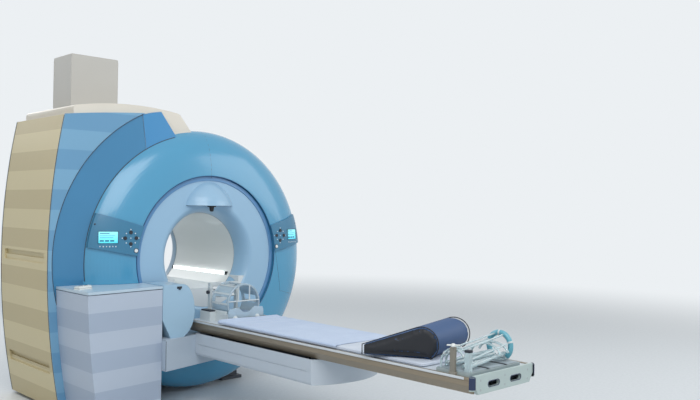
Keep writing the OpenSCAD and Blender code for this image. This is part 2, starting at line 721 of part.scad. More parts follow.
module table_beam() color("#cfd3d5") difference() {
    translate([0, 0, beam_z]) linear_extrude(beam_h - 2) beam_plan(0);
    translate([0, 0, beam_z + beam_t]) linear_extrude(beam_h) beam_plan(beam_t);
    spar_window();
    // shadow line along both sides, and the chamfered lower edges
    for (s = [-1, 1]) {
        translate([s * beam_w / 2 - 2.5, -beam_e + 8, beam_z + 78]) cube([5, beam_e - beam_y - 20, 5]);
        translate([s * (beam_w / 2 + 1), 0, beam_z - 1]) rotate([90, 0, 0]) linear_extrude(2600) polygon([[0, 0], [-s * (beam_t + 2), 0], [0, beam_t * 3]]);
    }
}

roller_r = 40;
roller_y = -beam_e + 150;
roller_z = table_z - run - roller_r;
module slide_rails() color("#aeb4b8") for (s = [-1, 1]) difference() {
    union() {
        translate([s * spar_x - 6, spar_y0 + 10, spar_z]) cube([12, -spar_y0 - 890, table_z - run - spar_z]);
        translate([s * spar_x - 20, spar_y0 + 10, table_z - run - 10]) cube([40, -spar_y0 - 890, 10]);
        translate([s * spar_x - 20, spar_y0 + 10, spar_z]) cube([40, -spar_y0 - 890, 8]);
    }
    translate([s * spar_x, roller_y, roller_z]) rotate([0, 90, 0]) cylinder(r = 9 + run, h = 60, center = true);
}

module drive_roller() color(dark) translate([0, roller_y, roller_z]) rotate([0, 90, 0]) {
    cylinder(r = roller_r, h = 180, center = true);
    cylinder(r = 9, h = 2 * spar_x + 12, center = true);
}

// ---- Tabletop: the pieces that slide ----

// Half section of the tabletop, as distance from its middle and height.
table_half = table_w / 2 - edge_w;
belly_w = 232;               // half width of its underside
top_z = table_h - 4;         // the surface that things lie on, between the side rails
module table_section() polygon(concat(
    [[-table_half, top_z], [table_half, top_z]],
    [[table_half, table_h - edge_h], [belly_w, table_z], [-belly_w, table_z], [-table_half, table_h - edge_h]]));

// The tabletop is a hollow moulding, open at the foot end, where the end plate closes it.
table_wall = 5;
module tabletop() color("#d8dde0") difference() {
    along_y(-table_end, -table_y) table_section();
    along_y(-table_end - 1, -table_y - table_wall) polygon([
        [table_wall - table_half, top_z - table_wall], [table_half - table_wall, top_z - table_wall],
        [table_half - table_wall, table_h - edge_h + 2], [belly_w - 3, table_z + table_wall],
        [3 - belly_w, table_z + table_wall], [table_wall - table_half, table_h - edge_h + 2]]);
}
hand_x = [-150, 50];         // left end of each hand hole
hand_z = table_h - 62;
hand_l = 100;
hand_h = 30;

module rail_section() polygon([
    [table_half, table_h - edge_h], [table_half, table_h], [table_w / 2 - 3, table_h], [table_w / 2, table_h - 3],
    [table_w / 2, table_h - 14], [table_w / 2 - 2.5, table_h - 14], [table_w / 2 - 2.5, table_h - 17], [table_w / 2, table_h - 17],
    [table_w / 2, table_h - edge_h], [belly_w + 22, table_z + 3], [belly_w + 12, table_z + 3],
    [belly_w + 12, table_z + (table_t - edge_h) * 12 / (table_half - belly_w)]]);
module side_rails() color("#8a7d6c") for (s = [0, 1]) mirror([s, 0, 0]) along_y(-table_end, -table_y) rail_section();

// Plate across the foot end with two hand holes, and its round corner bumpers.
end_t = 18;
bumper_r = 24;
module end_plate() color("#b9cbc9") {
    difference() {
        along_y(-table_end - end_t, -table_end) polygon([
            [-table_w / 2 + bumper_r, table_h + 8], [table_w / 2 - bumper_r, table_h + 8],
            [table_w / 2 - bumper_r, table_h - edge_h], [belly_w, table_z], [-belly_w, table_z], [-table_w / 2 + bumper_r, table_h - edge_h]]);
        for (x = hand_x) along_y(-table_end - end_t - 1, -table_end + 1) translate([x, hand_z]) rounded([hand_l, hand_h], 14);
    }
    for (s = [-1, 1]) translate([s * (table_w / 2 - bumper_r), -table_end, table_h - 66]) intersection() {
        cylinder(r = bumper_r, h = 70, $fn = 64);
        translate([s > 0 ? 0 : -bumper_r, -bumper_r, 0]) cube([bumper_r, bumper_r, 70]);
    }
}

mat_y0 = -table_y - 372;     // head end of the mattress
mat_y1 = -table_end + 330;
module mattress() color("white") along_y(mat_y1, mat_y0) polygon(concat(
    [[8 - table_half, top_z], [table_half - 8, top_z]],
    [[table_half - 8, top_z + mat_t - 7], [table_half - 14, top_z + mat_t],
     [14 - table_half, top_z + mat_t], [8 - table_half, top_z + mat_t - 7]]));

wedge_z = top_z + mat_t;
module knee_wedge() color("#1d2a44") translate([-table_half - 2, mat_y1 + wedge_l, wedge_z]) rotate([0, 0, -90 + wedge_turn])
    rotate([90, 0, 0]) mirror([0, 0, 1]) linear_extrude(wedge_w) polygon(concat(
        [[0, 0], [0, 52], [wedge_l * 0.62, 150]],
        [for (a = [100:-12.5:0]) [wedge_l - 96 + 96 * cos(a), 62 + 98 * sin(a)]],
        [[wedge_l - 8, 0]]));

// ---- Coils on the table ----

coil_y = -971;               // middle of the helmet along the table
coil_z = top_z + 131;
base_h = 58;
module head_coil() color("#dfe9ee") {
    difference() {
        translate([-165, coil_y - 130, top_z]) cube([330, 316, base_h]);
        // trough under the helmet, with a floor left in it
        intersection() {
            translate([0, coil_y - 131, coil_z]) rotate([-90, 0, 0]) cylinder(r = helmet_r - 8, h = 400);
            translate([-200, coil_y - 200, top_z + 10]) cube([400, 500, 200]);
        }
    }
    // posts and frame of the mirror, at the head side of the helmet
    for (s = [-1, 1]) difference() {
        translate([s * 120 - 9, coil_y + 150, top_z + base_h - 1]) cube([18, 30, 186]);
        translate([s * 120, coil_y + 165, mirror_z]) rotate([0, 90, 0]) cylinder(r = 4 + run, h = 40, center = true);
    }
    translate([-129, coil_y + 150, top_z + base_h + 184]) cube([258, 30, 28]);
    for (s = [-1, 1]) translate([s * 190 - 26, coil_y + 20, top_z]) cube([52, 130, 70]);
}

module coil_helmet() color("#e9f4f8") difference() {
    tube_y(helmet_r, helmet_r - 8, coil_y - helmet_l / 2, coil_y + helmet_l / 2, coil_z);
    translate([-200, coil_y - 200, 0]) cube([400, 400, top_z + base_h]);
    for (s = [-1, 1]) translate([s * 36, coil_y, coil_z]) linear_extrude(200) square([44, helmet_l - 70], center = true);
    for (s = [-1, 1]) translate([s * 150, coil_y, coil_z + 20]) cube([140, helmet_l - 60, 60], center = true);
}

mirror_z = top_z + base_h + 140;
// Mirror plate on its pivot rod, with a knob at the left end outside the frame.
module coil_mirror() color("silver") translate([0, coil_y + 165, mirror_z]) rotate([42, 0, 0]) {
    difference() {
        translate([-80, -52, -3]) cube([160, 104, 6]);
        translate([-82, -60, 3]) cube([164, 120, 5]);
    }
    rotate([0, 90, 0]) cylinder(r = 4, h = 272, center = true);
    translate([-138, 0, 0]) rotate([0, 90, 0]) cylinder(r = 12, h = 14, center = true);
}

module rod(p, q, r) {
    d = q - p;
    translate(p) rotate([0, acos(d[2] / norm(d)), atan2(d[1], d[0])]) cylinder(r = r, h = norm(d), $fn = 32);
}
// Coil cradle that lies across the foot end: a base plate, two thin hoops at its near end,
// a thick ring at its far end, the rods between them and a clamping post beside it.
cradle_y = -table_end + 122;
cradle_x0 = -258;            // first hoop
cradle_x1 = 150;             // thick ring
cradle_z = top_z + 24;       // top of the base plate
ring_tube = 13;
ring_zc = cradle_z + hoop_r / 2 + 11 + ring_tube;
module cradle_hoop(x, r, t, leg) {
    translate([x, cradle_y, cradle_z + leg]) rotate([90, 0, 90]) rotate_extrude(angle = 180, $fn = 96) translate([r, 0]) circle(r = t, $fn = 24);
    for (s = [-1, 1]) translate([x, cradle_y + s * r, cradle_z - 1]) cylinder(r = t - 0.8, h = leg + 1.5, $fn = 32);
}
module foot_coil() color("#bfe6ec") {
    translate([cradle_x0 - 12, cradle_y - 108, top_z]) cube([cradle_x1 - cradle_x0 + 50, 216, cradle_z - top_z]);
    for (x = [cradle_x0, cradle_x0 + 40]) cradle_hoop(x, 0.7 * hoop_r, 6, 22);
    // the thick ring is sunk a little way into the plate it stands on
    translate([cradle_x1, cradle_y, ring_zc - 4]) rotate([0, 90, 0]) rotate_extrude($fn = 96) translate([hoop_r / 2 + 11, 0]) circle(r = ring_tube, $fn = 32);
    for (a = [25:45:160]) rod(
        [cradle_x0 - 11, cradle_y + 0.7 * hoop_r * cos(a), cradle_z + 22 + 0.7 * hoop_r * sin(a)],
        [cradle_x1 + 3, cradle_y + (hoop_r / 2 + 11) * cos(a), ring_zc - 4 + (hoop_r / 2 + 11) * sin(a)], 5);
    translate([cradle_x0 - 10, cradle_y - 106, cradle_z - 1]) cube([28, 30, 110]);
}

magnet_feet();
vacuum_vessel();
helium_can();
magnet_coils();
gradient_coil();
body_coil();
cold_head();
vent_pipe();
bore_liner();
table_bridge();
front_funnel();
trim_ring();
ring_cover();
visor();
bore_camera();
bore_light();
light_ends();
front_panel();
band_cover();
band_cap();
side_cover();
top_cover();
drum_cover();
rear_panel();
rear_cover();
duct_shaft();
left_panel();
right_panel();
screens();
left_key_up();
left_key_down();
left_key_in();
left_key_out();
left_stop();
right_key_up();
right_key_down();
right_key_in();
right_key_out();
right_stop();
column_cover();
column_lid();
guide_column();
lift_motor();
lift_screw();
hand_control();
lift_carriage();
arm_cover();
carriage_cover();
table_beam();
slide_rails();
drive_roller();
tabletop();
side_rails();
end_plate();
mattress();
knee_wedge();
head_coil();
coil_helmet();
coil_mirror();
foot_coil();
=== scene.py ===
import math

import bmesh
import bpy
from mathutils import Matrix, Vector
from mathutils import noise as ripple


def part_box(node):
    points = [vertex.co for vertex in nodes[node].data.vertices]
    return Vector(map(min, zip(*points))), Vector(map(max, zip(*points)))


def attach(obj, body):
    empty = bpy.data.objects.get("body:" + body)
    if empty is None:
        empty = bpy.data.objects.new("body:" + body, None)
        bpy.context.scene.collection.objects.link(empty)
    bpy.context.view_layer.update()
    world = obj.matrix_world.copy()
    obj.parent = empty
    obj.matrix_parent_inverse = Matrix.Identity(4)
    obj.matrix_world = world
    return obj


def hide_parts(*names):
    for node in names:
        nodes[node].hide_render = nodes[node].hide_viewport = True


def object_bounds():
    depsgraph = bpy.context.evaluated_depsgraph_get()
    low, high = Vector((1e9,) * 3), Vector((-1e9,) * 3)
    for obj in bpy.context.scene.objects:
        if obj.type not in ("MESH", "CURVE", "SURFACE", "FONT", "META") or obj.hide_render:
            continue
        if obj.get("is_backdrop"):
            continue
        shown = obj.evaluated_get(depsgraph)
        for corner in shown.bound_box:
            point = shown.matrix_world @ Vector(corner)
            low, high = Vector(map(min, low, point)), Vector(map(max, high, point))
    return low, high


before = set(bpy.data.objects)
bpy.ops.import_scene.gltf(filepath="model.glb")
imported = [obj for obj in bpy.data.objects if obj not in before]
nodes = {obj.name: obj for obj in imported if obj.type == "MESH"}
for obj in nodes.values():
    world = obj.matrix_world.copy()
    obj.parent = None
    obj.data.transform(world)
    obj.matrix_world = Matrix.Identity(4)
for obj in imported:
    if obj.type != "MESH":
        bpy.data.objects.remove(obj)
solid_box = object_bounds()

# ---------------------------------------------------------------------------
# Room: the scanner stands on a pale resin floor that runs on without an edge. The camera
# stands at the table's foot end, to its left, as the photographer did, a little above the
# ring's middle.


def stand(name, data):
    """A new object in the scene."""
    made = bpy.data.objects.new(name, data)
    bpy.context.scene.collection.objects.link(made)
    return made


camera = stand("camera", bpy.data.cameras.new("camera"))
camera.data.lens = 39.75
camera.data.sensor_width = 36
camera.matrix_world = (
    Matrix.Translation((-3.4654, -5.7696, 1.4864))
    @ Matrix.Rotation(math.radians(-44.125), 4, "Z")
    @ Matrix.Rotation(math.radians(90.487), 4, "X")
    @ Matrix.Rotation(math.radians(0.893), 4, "Z")
)
bpy.context.scene.camera = camera
bpy.context.scene.view_settings.view_transform = "Standard"

for lamp, place, aim, size, power in (
    ("ceiling_softbox", (-2.6, -5.0, 5.2), (-0.3, -1.4, 0.9), 4.5, 210),
    ("wall_softbox", (4.6, -4.6, 3.4), (0.0, -1.0, 0.9), 3.5, 70),
    ("rear_softbox", (-1.0, 5.0, 4.6), (-0.2, 0.0, 1.0), 4.0, 120),
):
    light = stand(lamp, bpy.data.lights.new(lamp, "AREA"))
    light.data.size = size
    light.data.energy = power
    light.location = place
    light.rotation_euler = (Vector(aim) - Vector(place)).to_track_quat("-Z", "Y").to_euler()


def wire(tree, kind, feeds=(), **options):
    """Adds a node, sets its options and fills its inputs with values or other nodes' outputs."""
    made = tree.nodes.new(kind)
    for option, value in options.items():
        setattr(made, option, value)
    for socket, value in dict(feeds).items():
        if isinstance(value, bpy.types.Node):
            value = value.outputs[0]
        if isinstance(value, bpy.types.NodeSocket):
            tree.links.new(value, made.inputs[socket])
        else:
            made.inputs[socket].default_value = value
    return made


def reckon(tree, operation, *terms):
    """A math node on its terms."""
    return wire(tree, "ShaderNodeMath", dict(enumerate(terms)), operation=operation)


def spread(tree, value, *limits, **options):
    """A node that maps a value between two limits to 0 to 1, or to the next two limits."""
    return wire(tree, "ShaderNodeMapRange", dict(enumerate((value, *limits))), **options)


def blend(tree, share, first, second):
    """The colour that lies between two, by a share of the second."""
    mixed = wire(tree, "ShaderNodeMix", {0: share, 6: first, 7: second}, data_type="RGBA")
    return mixed.outputs[2]


def speckle(tree, where, scale, **more):
    """A noise texture at a place; more names its other inputs."""
    return wire(tree, "ShaderNodeTexNoise", {"Vector": where, "Scale": scale, **more})


def own_place(tree):
    """The Object coordinates of what is being shaded."""
    return wire(tree, "ShaderNodeTexCoord").outputs["Object"]


def blank(name):
    """A new material and its emptied node tree."""
    material = bpy.data.materials.new(name)
    material.use_nodes = True
    material.node_tree.nodes.clear()
    return material, material.node_tree


def paint(red, green, blue):
    """The linear colour of a paint chip read as 0 to 255."""
    chip = [c / 255 for c in (red, green, blue)]
    return tuple(c / 12.92 if c <= 0.04045 else ((c + 0.055) / 1.055) ** 2.4 for c in chip) + (1.0,)


haze = paint(236, 240, 243)
room_air = bpy.data.worlds.new("room_air")
room_air.use_nodes = True
bpy.context.scene.world = room_air
air = room_air.node_tree
air.nodes.clear()
path = wire(air, "ShaderNodeLightPath").outputs
seen = reckon(air, "MAXIMUM", path["Is Camera Ray"], path["Is Glossy Ray"])
seen = reckon(air, "MAXIMUM", seen, path["Is Transmission Ray"])
soft = wire(air, "ShaderNodeBackground", {"Color": (0.93, 0.97, 1.0, 1), "Strength": 0.52})
pale = wire(air, "ShaderNodeBackground", {"Color": haze, "Strength": 1.0})
both = wire(air, "ShaderNodeMixShader", {0: seen, 1: soft, 2: pale})
wire(air, "ShaderNodeOutputWorld", {0: both})

resin_floor, ground = blank("resin_floor")
where = own_place(ground)
specks = speckle(ground, where, 38, Detail=3)
tone = blend(ground, specks, paint(205, 210, 213), paint(222, 226, 229))
matt = wire(ground, "ShaderNodeBsdfPrincipled", {"Base Color": tone, "Roughness": 0.55})
far_off = wire(ground, "ShaderNodeVectorMath", {0: where}, operation="LENGTH")
fade = spread(ground, far_off.outputs["Value"], 4.5, 11.0, interpolation_type="SMOOTHSTEP")
glow = wire(ground, "ShaderNodeEmission", {0: haze, 1: 1.0})
path = wire(ground, "ShaderNodeLightPath").outputs
seen = reckon(ground, "MAXIMUM", path["Is Camera Ray"], path["Is Glossy Ray"])
share = reckon(ground, "MULTIPLY", seen, fade)
both = wire(ground, "ShaderNodeMixShader", {0: share, 1: matt, 2: glow})
wire(ground, "ShaderNodeOutputMaterial", {0: both})

floor_mesh = bpy.data.meshes.new("room_floor")
floor_mesh.from_pydata([(-90, -90, 0), (90, -90, 0), (90, 90, 0), (-90, 90, 0)], [], [(0, 1, 2, 3)])
floor_mesh.materials.append(resin_floor)
stand("room_floor", floor_mesh)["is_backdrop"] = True

# ---------------------------------------------------------------------------
# Magnet: a welded steel vacuum vessel on four feet, with an aluminium helium can, copper
# coils and resin-cast gradient and body coils inside it. The cold head and the vent pipe
# are bolted on top. All of it is hidden once the covers are on.


def recipe(name, kind, ins, outs):
    """A node group with named inputs and outputs, and what its input node gives."""
    group = bpy.data.node_groups.new(name, kind)
    for label, sort, value in ins:
        socket = group.interface.new_socket(
            name=label, in_out="INPUT", socket_type="NodeSocket" + sort
        )
        if value is not None:
            socket.default_value = value
    for label, sort in outs:
        group.interface.new_socket(name=label, in_out="OUTPUT", socket_type="NodeSocket" + sort)
    return group, wire(group, "NodeGroupInput").outputs


surface_outs = [("Color", "Color"), ("Roughness", "Float"), ("Normal", "Vector")]

# Colour that drifts a little over the surface, the fine grain of the mould or the spray
# gun, softened edges, and paint rubbed pale along those edges.
shell, given = recipe(
    "moulded_shell",
    "ShaderNodeTree",
    [
        ("Color", "Color", (0.5, 0.5, 0.5, 1)),
        ("Worn Color", "Color", (0.8, 0.8, 0.8, 1)),
        ("Mottle", "Float", 0.08),
        ("Patch Scale", "Float", 2.5),
        ("Grain Scale", "Float", 650.0),
        ("Grain Depth", "Float", 0.0001),
        ("Wear", "Float", 0.3),
        ("Edge", "Float", 0.003),
        ("Roughness", "Float", 0.4),
    ],
    surface_outs,
)
where = own_place(shell)
patches = speckle(shell, where, given["Patch Scale"], Detail=4, Roughness=0.55)
swing = reckon(shell, "SUBTRACT", patches, 0.5)
swing = reckon(shell, "MULTIPLY_ADD", swing, given["Mottle"], 1.0)
drifted = wire(
    shell, "ShaderNodeVectorMath", {0: given["Color"], "Scale": swing}, operation="SCALE"
)
rounded = wire(shell, "ShaderNodeBevel", {"Radius": given["Edge"]}, samples=4)
facing = wire(shell, "ShaderNodeNewGeometry").outputs["Normal"]
same = wire(shell, "ShaderNodeVectorMath", {0: rounded, 1: facing}, operation="DOT_PRODUCT")
edge = spread(shell, same.outputs["Value"], 0.995, 0.93)
scuffs = spread(shell, speckle(shell, where, 26, Detail=5, Roughness=0.7), 0.45, 0.7)
rubbed = reckon(shell, "MULTIPLY", reckon(shell, "MULTIPLY", edge, scuffs), given["Wear"])
gloss = reckon(shell, "MULTIPLY", swing, given["Roughness"])
grain = speckle(shell, where, given["Grain Scale"], Detail=2)
relief = {"Strength": 0.5, "Distance": given["Grain Depth"], "Height": grain, "Normal": rounded}
wire(shell, "NodeGroupOutput", {
    "Color": blend(shell, rubbed, drifted, given["Worn Color"]),
    "Roughness": reckon(shell, "MULTIPLY_ADD", rubbed, 0.2, gloss),
    "Normal": wire(shell, "ShaderNodeBump", relief),
})


def skin(name, group, values, surface, color_from=None):
    """Material with its colour, gloss and relief from a shader group and a Principled surface."""
    material, tree = blank(name)
    face = wire(tree, "ShaderNodeGroup", values, node_tree=group)
    if color_from:
        color_from(tree, face.inputs["Color"])
    feeds = {"Base Color": face.outputs["Color"]}
    feeds |= {label: face.outputs[label] for label in ("Roughness", "Normal")}
    body = wire(tree, "ShaderNodeBsdfPrincipled", feeds | surface)
    wire(tree, "ShaderNodeOutputMaterial", {0: body})
    return material


def moulded(
    name, color, roughness=0.4, mottle=0.08, grain=0.0001, wear=0.3, edge=0.003, coat=0.0,
    color_from=None,
):
    """Material of a moulded or painted cover, with its own colour, gloss, grain and wear."""
    worn = tuple(min(1, 0.25 + 0.85 * c) for c in color[:3]) + (1,)
    values = {
        "Color": color, "Worn Color": worn, "Mottle": mottle, "Grain Depth": grain,
        "Wear": wear, "Edge": edge, "Roughness": roughness,
    }
    surface = {"Metallic": 0.0, "Coat Weight": coat, "Coat Roughness": 0.12}
    return skin(name, shell, values, surface, color_from)


def dress(material, *names):
    """Gives CAD nodes a material."""
    for name in names:
        mesh = nodes[name].data
        mesh.materials.clear()
        mesh.materials.append(material)


# Brushed or turned metal: fine lines along one axis, which also streak its gloss.
brushed, given = recipe(
    "brushed_metal",
    "ShaderNodeTree",
    [
        ("Color", "Color", (0.7, 0.7, 0.7, 1)),
        ("Stretch", "Vector", (1, 1, 1)),
        ("Streaks", "Float", 0.25),
        ("Roughness", "Float", 0.35),
    ],
    surface_outs,
)
stretched = {0: own_place(brushed), 1: given["Stretch"]}
drawn = wire(brushed, "ShaderNodeVectorMath", stretched, operation="MULTIPLY")
lines = speckle(brushed, drawn, 420, Detail=3)
swing = reckon(brushed, "SUBTRACT", lines, 0.5)
swing = reckon(brushed, "MULTIPLY_ADD", swing, given["Streaks"], 1.0)
streaked = {0: given["Color"], "Scale": swing}
rounded = wire(brushed, "ShaderNodeBevel", {"Radius": 0.0015}, samples=4)
relief = {"Strength": 0.35, "Distance": 0.00008, "Height": lines, "Normal": rounded}
wire(brushed, "NodeGroupOutput", {
    "Color": wire(brushed, "ShaderNodeVectorMath", streaked, operation="SCALE"),
    "Roughness": reckon(brushed, "MULTIPLY", swing, given["Roughness"]),
    "Normal": wire(brushed, "ShaderNodeBump", relief),
})


def metal(name, color, roughness=0.35, stretch=(1, 0.02, 1), streaks=0.25, metallic=0.9):
    """Material of a brushed, drawn or turned metal piece; stretch sets the way the lines run."""
    values = {"Color": color, "Stretch": stretch, "Streaks": streaks, "Roughness": roughness}
    return skin(name, brushed, values, {"Metallic": metallic})


dress(metal("vessel_steel", paint(176, 180, 184), 0.42, (1, 1, 0.03)), "vacuum_vessel")
dress(metal("can_aluminium", paint(196, 199, 203), 0.36), "helium_can")
coil_copper = metal("coil_copper", paint(186, 118, 76), 0.34, (1, 1, 1), 0.4)
dress(coil_copper, "magnet_coils", "body_coil")
dress(moulded("cast_resin", paint(122, 138, 98), 0.5, 0.2), "gradient_coil")
# The magnet's feet get a dark grey so that they merge with the shade under the ring: this colour is
# painted shade, not their paint.
dress(moulded("feet_painted_shade", paint(66, 72, 80), 0.55, 0.12, 0.0003, 0.4), "magnet_feet")
cold_head_steel = metal("cold_head_steel", paint(190, 192, 194), 0.3, (1, 1, 0.04))
dress(cold_head_steel, "cold_head", "vent_pipe")

# ---------------------------------------------------------------------------
# Bore: a smooth gloss-white tube of glass-fibre laminate, with the table's bridge bonded
# along its floor. A strip of light is let into its right wall between two dark end caps,
# and a rubber bead closes its joint with the funnel.
iso = 1.070
bore_r = 0.350
bore_gelcoat = moulded("bore_gelcoat", paint(226, 230, 228), 0.3, 0.05, 0.00005, 0.0, coat=0.5)
dress(bore_gelcoat, "bore_liner")
dress(moulded("bridge_white", paint(214, 221, 224), 0.38, 0.06), "table_bridge")


def single(name, color_of, surface):
    """Material of one Principled surface, whose colour a function makes in its tree."""
    material, tree = blank(name)
    color = color_of(tree)
    feeds = {label: color if value == "own" else value for label, value in surface.items()}
    face = wire(tree, "ShaderNodeBsdfPrincipled", {"Base Color": color} | feeds)
    wire(tree, "ShaderNodeOutputMaterial", {0: face})
    return material


def lamp_cells(tree):
    """Pale cells in a row along the diffuser."""
    cells = {"Vector": own_place(tree), "Scale": 28, "Distortion": 0.0}
    cells = wire(tree, "ShaderNodeTexWave", cells, bands_direction="Y")
    return blend(tree, cells.outputs["Fac"], (0.86, 0.97, 1, 1), (1, 1, 1, 1))


lamp_face = {"Roughness": 0.3, "Emission Color": "own", "Emission Strength": 2.2}
dress(single("lamp_diffuser", lamp_cells, lamp_face), "bore_light")
dress(moulded("dark_caps", paint(40, 44, 50), 0.45, 0.1), "light_ends")


def plan(name, inputs):
    """A Geometry Nodes tree with named inputs, and what its input node gives."""
    geometry = ("Geometry", "Geometry")
    return recipe(name, "GeometryNodeTree", [(*geometry, None), *inputs], [geometry])


def kept(tree, given, shape):
    """Ends a plan: its instances become plain faces in the material it is given."""
    whole = wire(tree, "GeometryNodeRealizeInstances", {0: shape})
    coated = {0: whole, "Material": given["Material"]}
    wire(tree, "NodeGroupOutput", {0: wire(tree, "GeometryNodeSetMaterial", coated)})


def baked(carrier):
    """What an object's modifiers make of it, as a plain mesh."""
    graph = bpy.context.evaluated_depsgraph_get()
    return bpy.data.meshes.new_from_object(carrier.evaluated_get(graph))


def fitted(name, mesh, body):
    """Puts a finished mesh in the scene as one piece that rides a body."""
    mesh.name = name
    made = stand(name, mesh)
    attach(made, body)
    return made


def grow(name, start, tree, values, body, smooth=True, aims=()):
    """Runs a Geometry Nodes tree on a starting mesh and keeps its result as one plain mesh."""
    seed = bpy.data.meshes.new(name + "_seed")
    seed.from_pydata(*start)
    if aims:
        ways = seed.attributes.new("aim", "FLOAT_VECTOR", "POINT")
        for entry, way in zip(ways.data, aims):
            entry.vector = Vector(way).normalized()
    carrier = stand(name + "_seed", seed)
    live = carrier.modifiers.new("grow", "NODES")
    live.node_group = tree
    for item in tree.interface.items_tree:
        if item.in_out == "INPUT" and item.name in values:
            live[item.identifier] = values[item.name]
    mesh = baked(carrier)
    bpy.data.objects.remove(carrier)
    if smooth:
        mesh.shade_smooth()
    return fitted(name, mesh, body)


# A bead follows any path of edges: rubber seals, seams, cables, piping and bent wire.
bead_plan, given = plan(
    "bead_along_path",
    [
        ("Radius", "Float", 0.002),
        ("Flatten", "Float", 1.0),
        ("Sides", "Int", 8),
        ("Material", "Material", None),
    ],
)
line = wire(bead_plan, "GeometryNodeMeshToCurve", {0: given["Geometry"]})
ring = {"Resolution": given["Sides"], "Radius": given["Radius"]}
ring = wire(bead_plan, "GeometryNodeCurvePrimitiveCircle", ring)
flat = wire(bead_plan, "ShaderNodeCombineXYZ", {0: 1.0, 1: given["Flatten"], 2: 1.0})
ring = wire(bead_plan, "GeometryNodeTransform", {"Geometry": ring, "Scale": flat})
swept = wire(bead_plan, "GeometryNodeCurveToMesh", {0: line, 1: ring, "Fill Caps": True})
kept(bead_plan, given, swept)


def chained(routes, closed=False):
    """The points and edges of one or more paths of points."""
    points, edges = [], []
    for route in routes:
        first = len(points)
        points += [tuple(p) for p in route]
        edges += [(first + i, first + i + 1) for i in range(len(route) - 1)]
        if closed:
            edges.append((len(points) - 1, first))
    return points, edges, []


def bead(name, paths, radius, material, body, closed=False, sides=8, flatten=1.0):
    """A bead of the given radius along one or more paths of points."""
    values = {"Radius": radius, "Sides": sides, "Flatten": flatten, "Material": material}
    return grow(name, chained(paths, closed), bead_plan, values, body)


def arc(radius, turns, x=0.0, y=0.0):
    """Points (x, y) of a circle at the given angles in degrees."""
    turns = [math.radians(turn) for turn in turns]
    return [(x + radius * math.cos(turn), y + radius * math.sin(turn)) for turn in turns]


def steps(start, end, count):
    """Even steps from start to end, both ends included."""
    return [start + (end - start) * i / count for i in range(count + 1)]


def hoop(radius, y, height=iso, count=96, start=0.0, end=360.0):
    """Points of a circle, or of an arc of it, across the bore's axis."""
    turns = steps(start, end, count)[:-1 if end - start == 360.0 else None]
    return [(x, y, z) for x, z in arc(radius, turns, 0.0, height)]


# Dark rubber for the real seals and seams; the two band beads also use it as painted shade in gaps.
seal_rubber_and_gap_shade = moulded("seal_rubber_and_gap_shade", paint(58, 64, 72), 0.6, 0.15, 0.0002, 0.1)
joint_grey = moulded("joint_grey", paint(150, 160, 168), 0.5)
joints = [hoop(bore_r - 0.0002, y) for y in (-0.4505, 0.4495)]
bead("bore_joint_seal", joints, 0.0022, joint_grey, "base", closed=True)

# ---------------------------------------------------------------------------
# Funnel and hood: one thermoformed shell flares from the bore to the ring, sprayed a light
# satin blue. A mid-blue trim ring closes its rim, and a half-moon hood over the bore
# holds the patient camera on its flat underside.
funnel_blue = moulded("funnel_blue", paint(150, 187, 214), 0.34, 0.07, 0.00005, 0.15, coat=0.3)
dress(funnel_blue, "front_funnel", "visor")
trim_blue = moulded("trim_blue", paint(84, 138, 186), 0.28, 0.06, 0.00004, 0.2, coat=0.5)
dress(trim_blue, "trim_ring")
dress(moulded("camera_black", paint(24, 26, 30), 0.3, 0.1), "bore_camera")


def cast(name, work, material, body, smooth=True, sharp=None):
    """Keeps worked faces as one piece in one material; edges past sharp degrees stay sharp."""
    mesh = bpy.data.meshes.new(name)
    work.to_mesh(mesh)
    work.free()
    if smooth:
        mesh.shade_smooth()
    if sharp:
        mesh.set_sharp_from_angle(angle=math.radians(sharp))
    mesh.materials.append(material)
    return fitted(name, mesh, body)


def piece(name, points, faces, material, body, smooth=False, sharp=None):
    """A plain mesh piece with its faces turned outwards."""
    mesh = bpy.data.meshes.new(name + "_rough")
    mesh.from_pydata([tuple(p) for p in points], [], faces)
    work = bmesh.new()
    work.from_mesh(mesh)
    bpy.data.meshes.remove(mesh)
    bmesh.ops.remove_doubles(work, verts=work.verts, dist=1e-6)
    bmesh.ops.recalc_face_normals(work, faces=work.faces)
    return cast(name, work, material, body, smooth, sharp)


def turned(name, profile, place, material, body, count=48):
    """A lathe piece: profile is (radius, height) from one closed end to the other."""
    turns = [360 * i / count for i in range(count)]
    points = [place @ Vector((x, y, z)) for radius, z in profile for x, y in arc(radius, turns)]
    rows = range(len(profile) - 1)
    ends = [(row * count + i, row * count + (i + 1) % count) for row in rows for i in range(count)]
    faces = [(a, b, b + count, a + count) for a, b in ends]
    faces += [tuple(range(count))[::-1], tuple(range(len(points) - count, len(points)))]
    return piece(name, points, faces, material, body, smooth=True)


def lens_film(tree):
    """The violet film of a coated lens."""
    return blend(tree, speckle(tree, own_place(tree), 60), paint(14, 16, 30), paint(34, 30, 62))


glass_lens = single("lens_glass", lens_film, {"Roughness": 0.06, "Coat Weight": 1.0})
lens_place = Matrix.Translation((0, -0.630, 1.4345)) @ Matrix.Rotation(math.pi, 4, "X")
lens_profile = [
    (0.0001, -0.001), (0.0135, -0.001), (0.0135, 0.0005), (0.0128, 0.0024),
    (0.0095, 0.0046), (0.005, 0.006), (0.0001, 0.0065),
]
turned("camera_lens", lens_profile, lens_place, glass_lens, "base")
hood_face_y = -0.600
hood_run = [(x, hood_face_y - 0.0006, 1.4755) for x in (-0.216, -0.1, 0.0, 0.1, 0.216)]
bead("hood_joint", [hood_run], 0.0011, seal_rubber_and_gap_shade, "base")

# ---------------------------------------------------------------------------
# Ring cover: a glossy lacquered half-doughnut in doors that hang on the magnet's frame, so
# fine dark seams run over it beside the column, over its top and down from the right
# control panel.
ring_z = 1.050
ring_r, ring_inner_r, ring_back_y, ring_depth = 1.025, 0.642, -0.429, 0.193
ring_teal = moulded("ring_teal", paint(74, 152, 190), 0.24, 0.07, 0.00003, 0.12, 0.005, 0.6)
dress(ring_teal, "ring_cover")


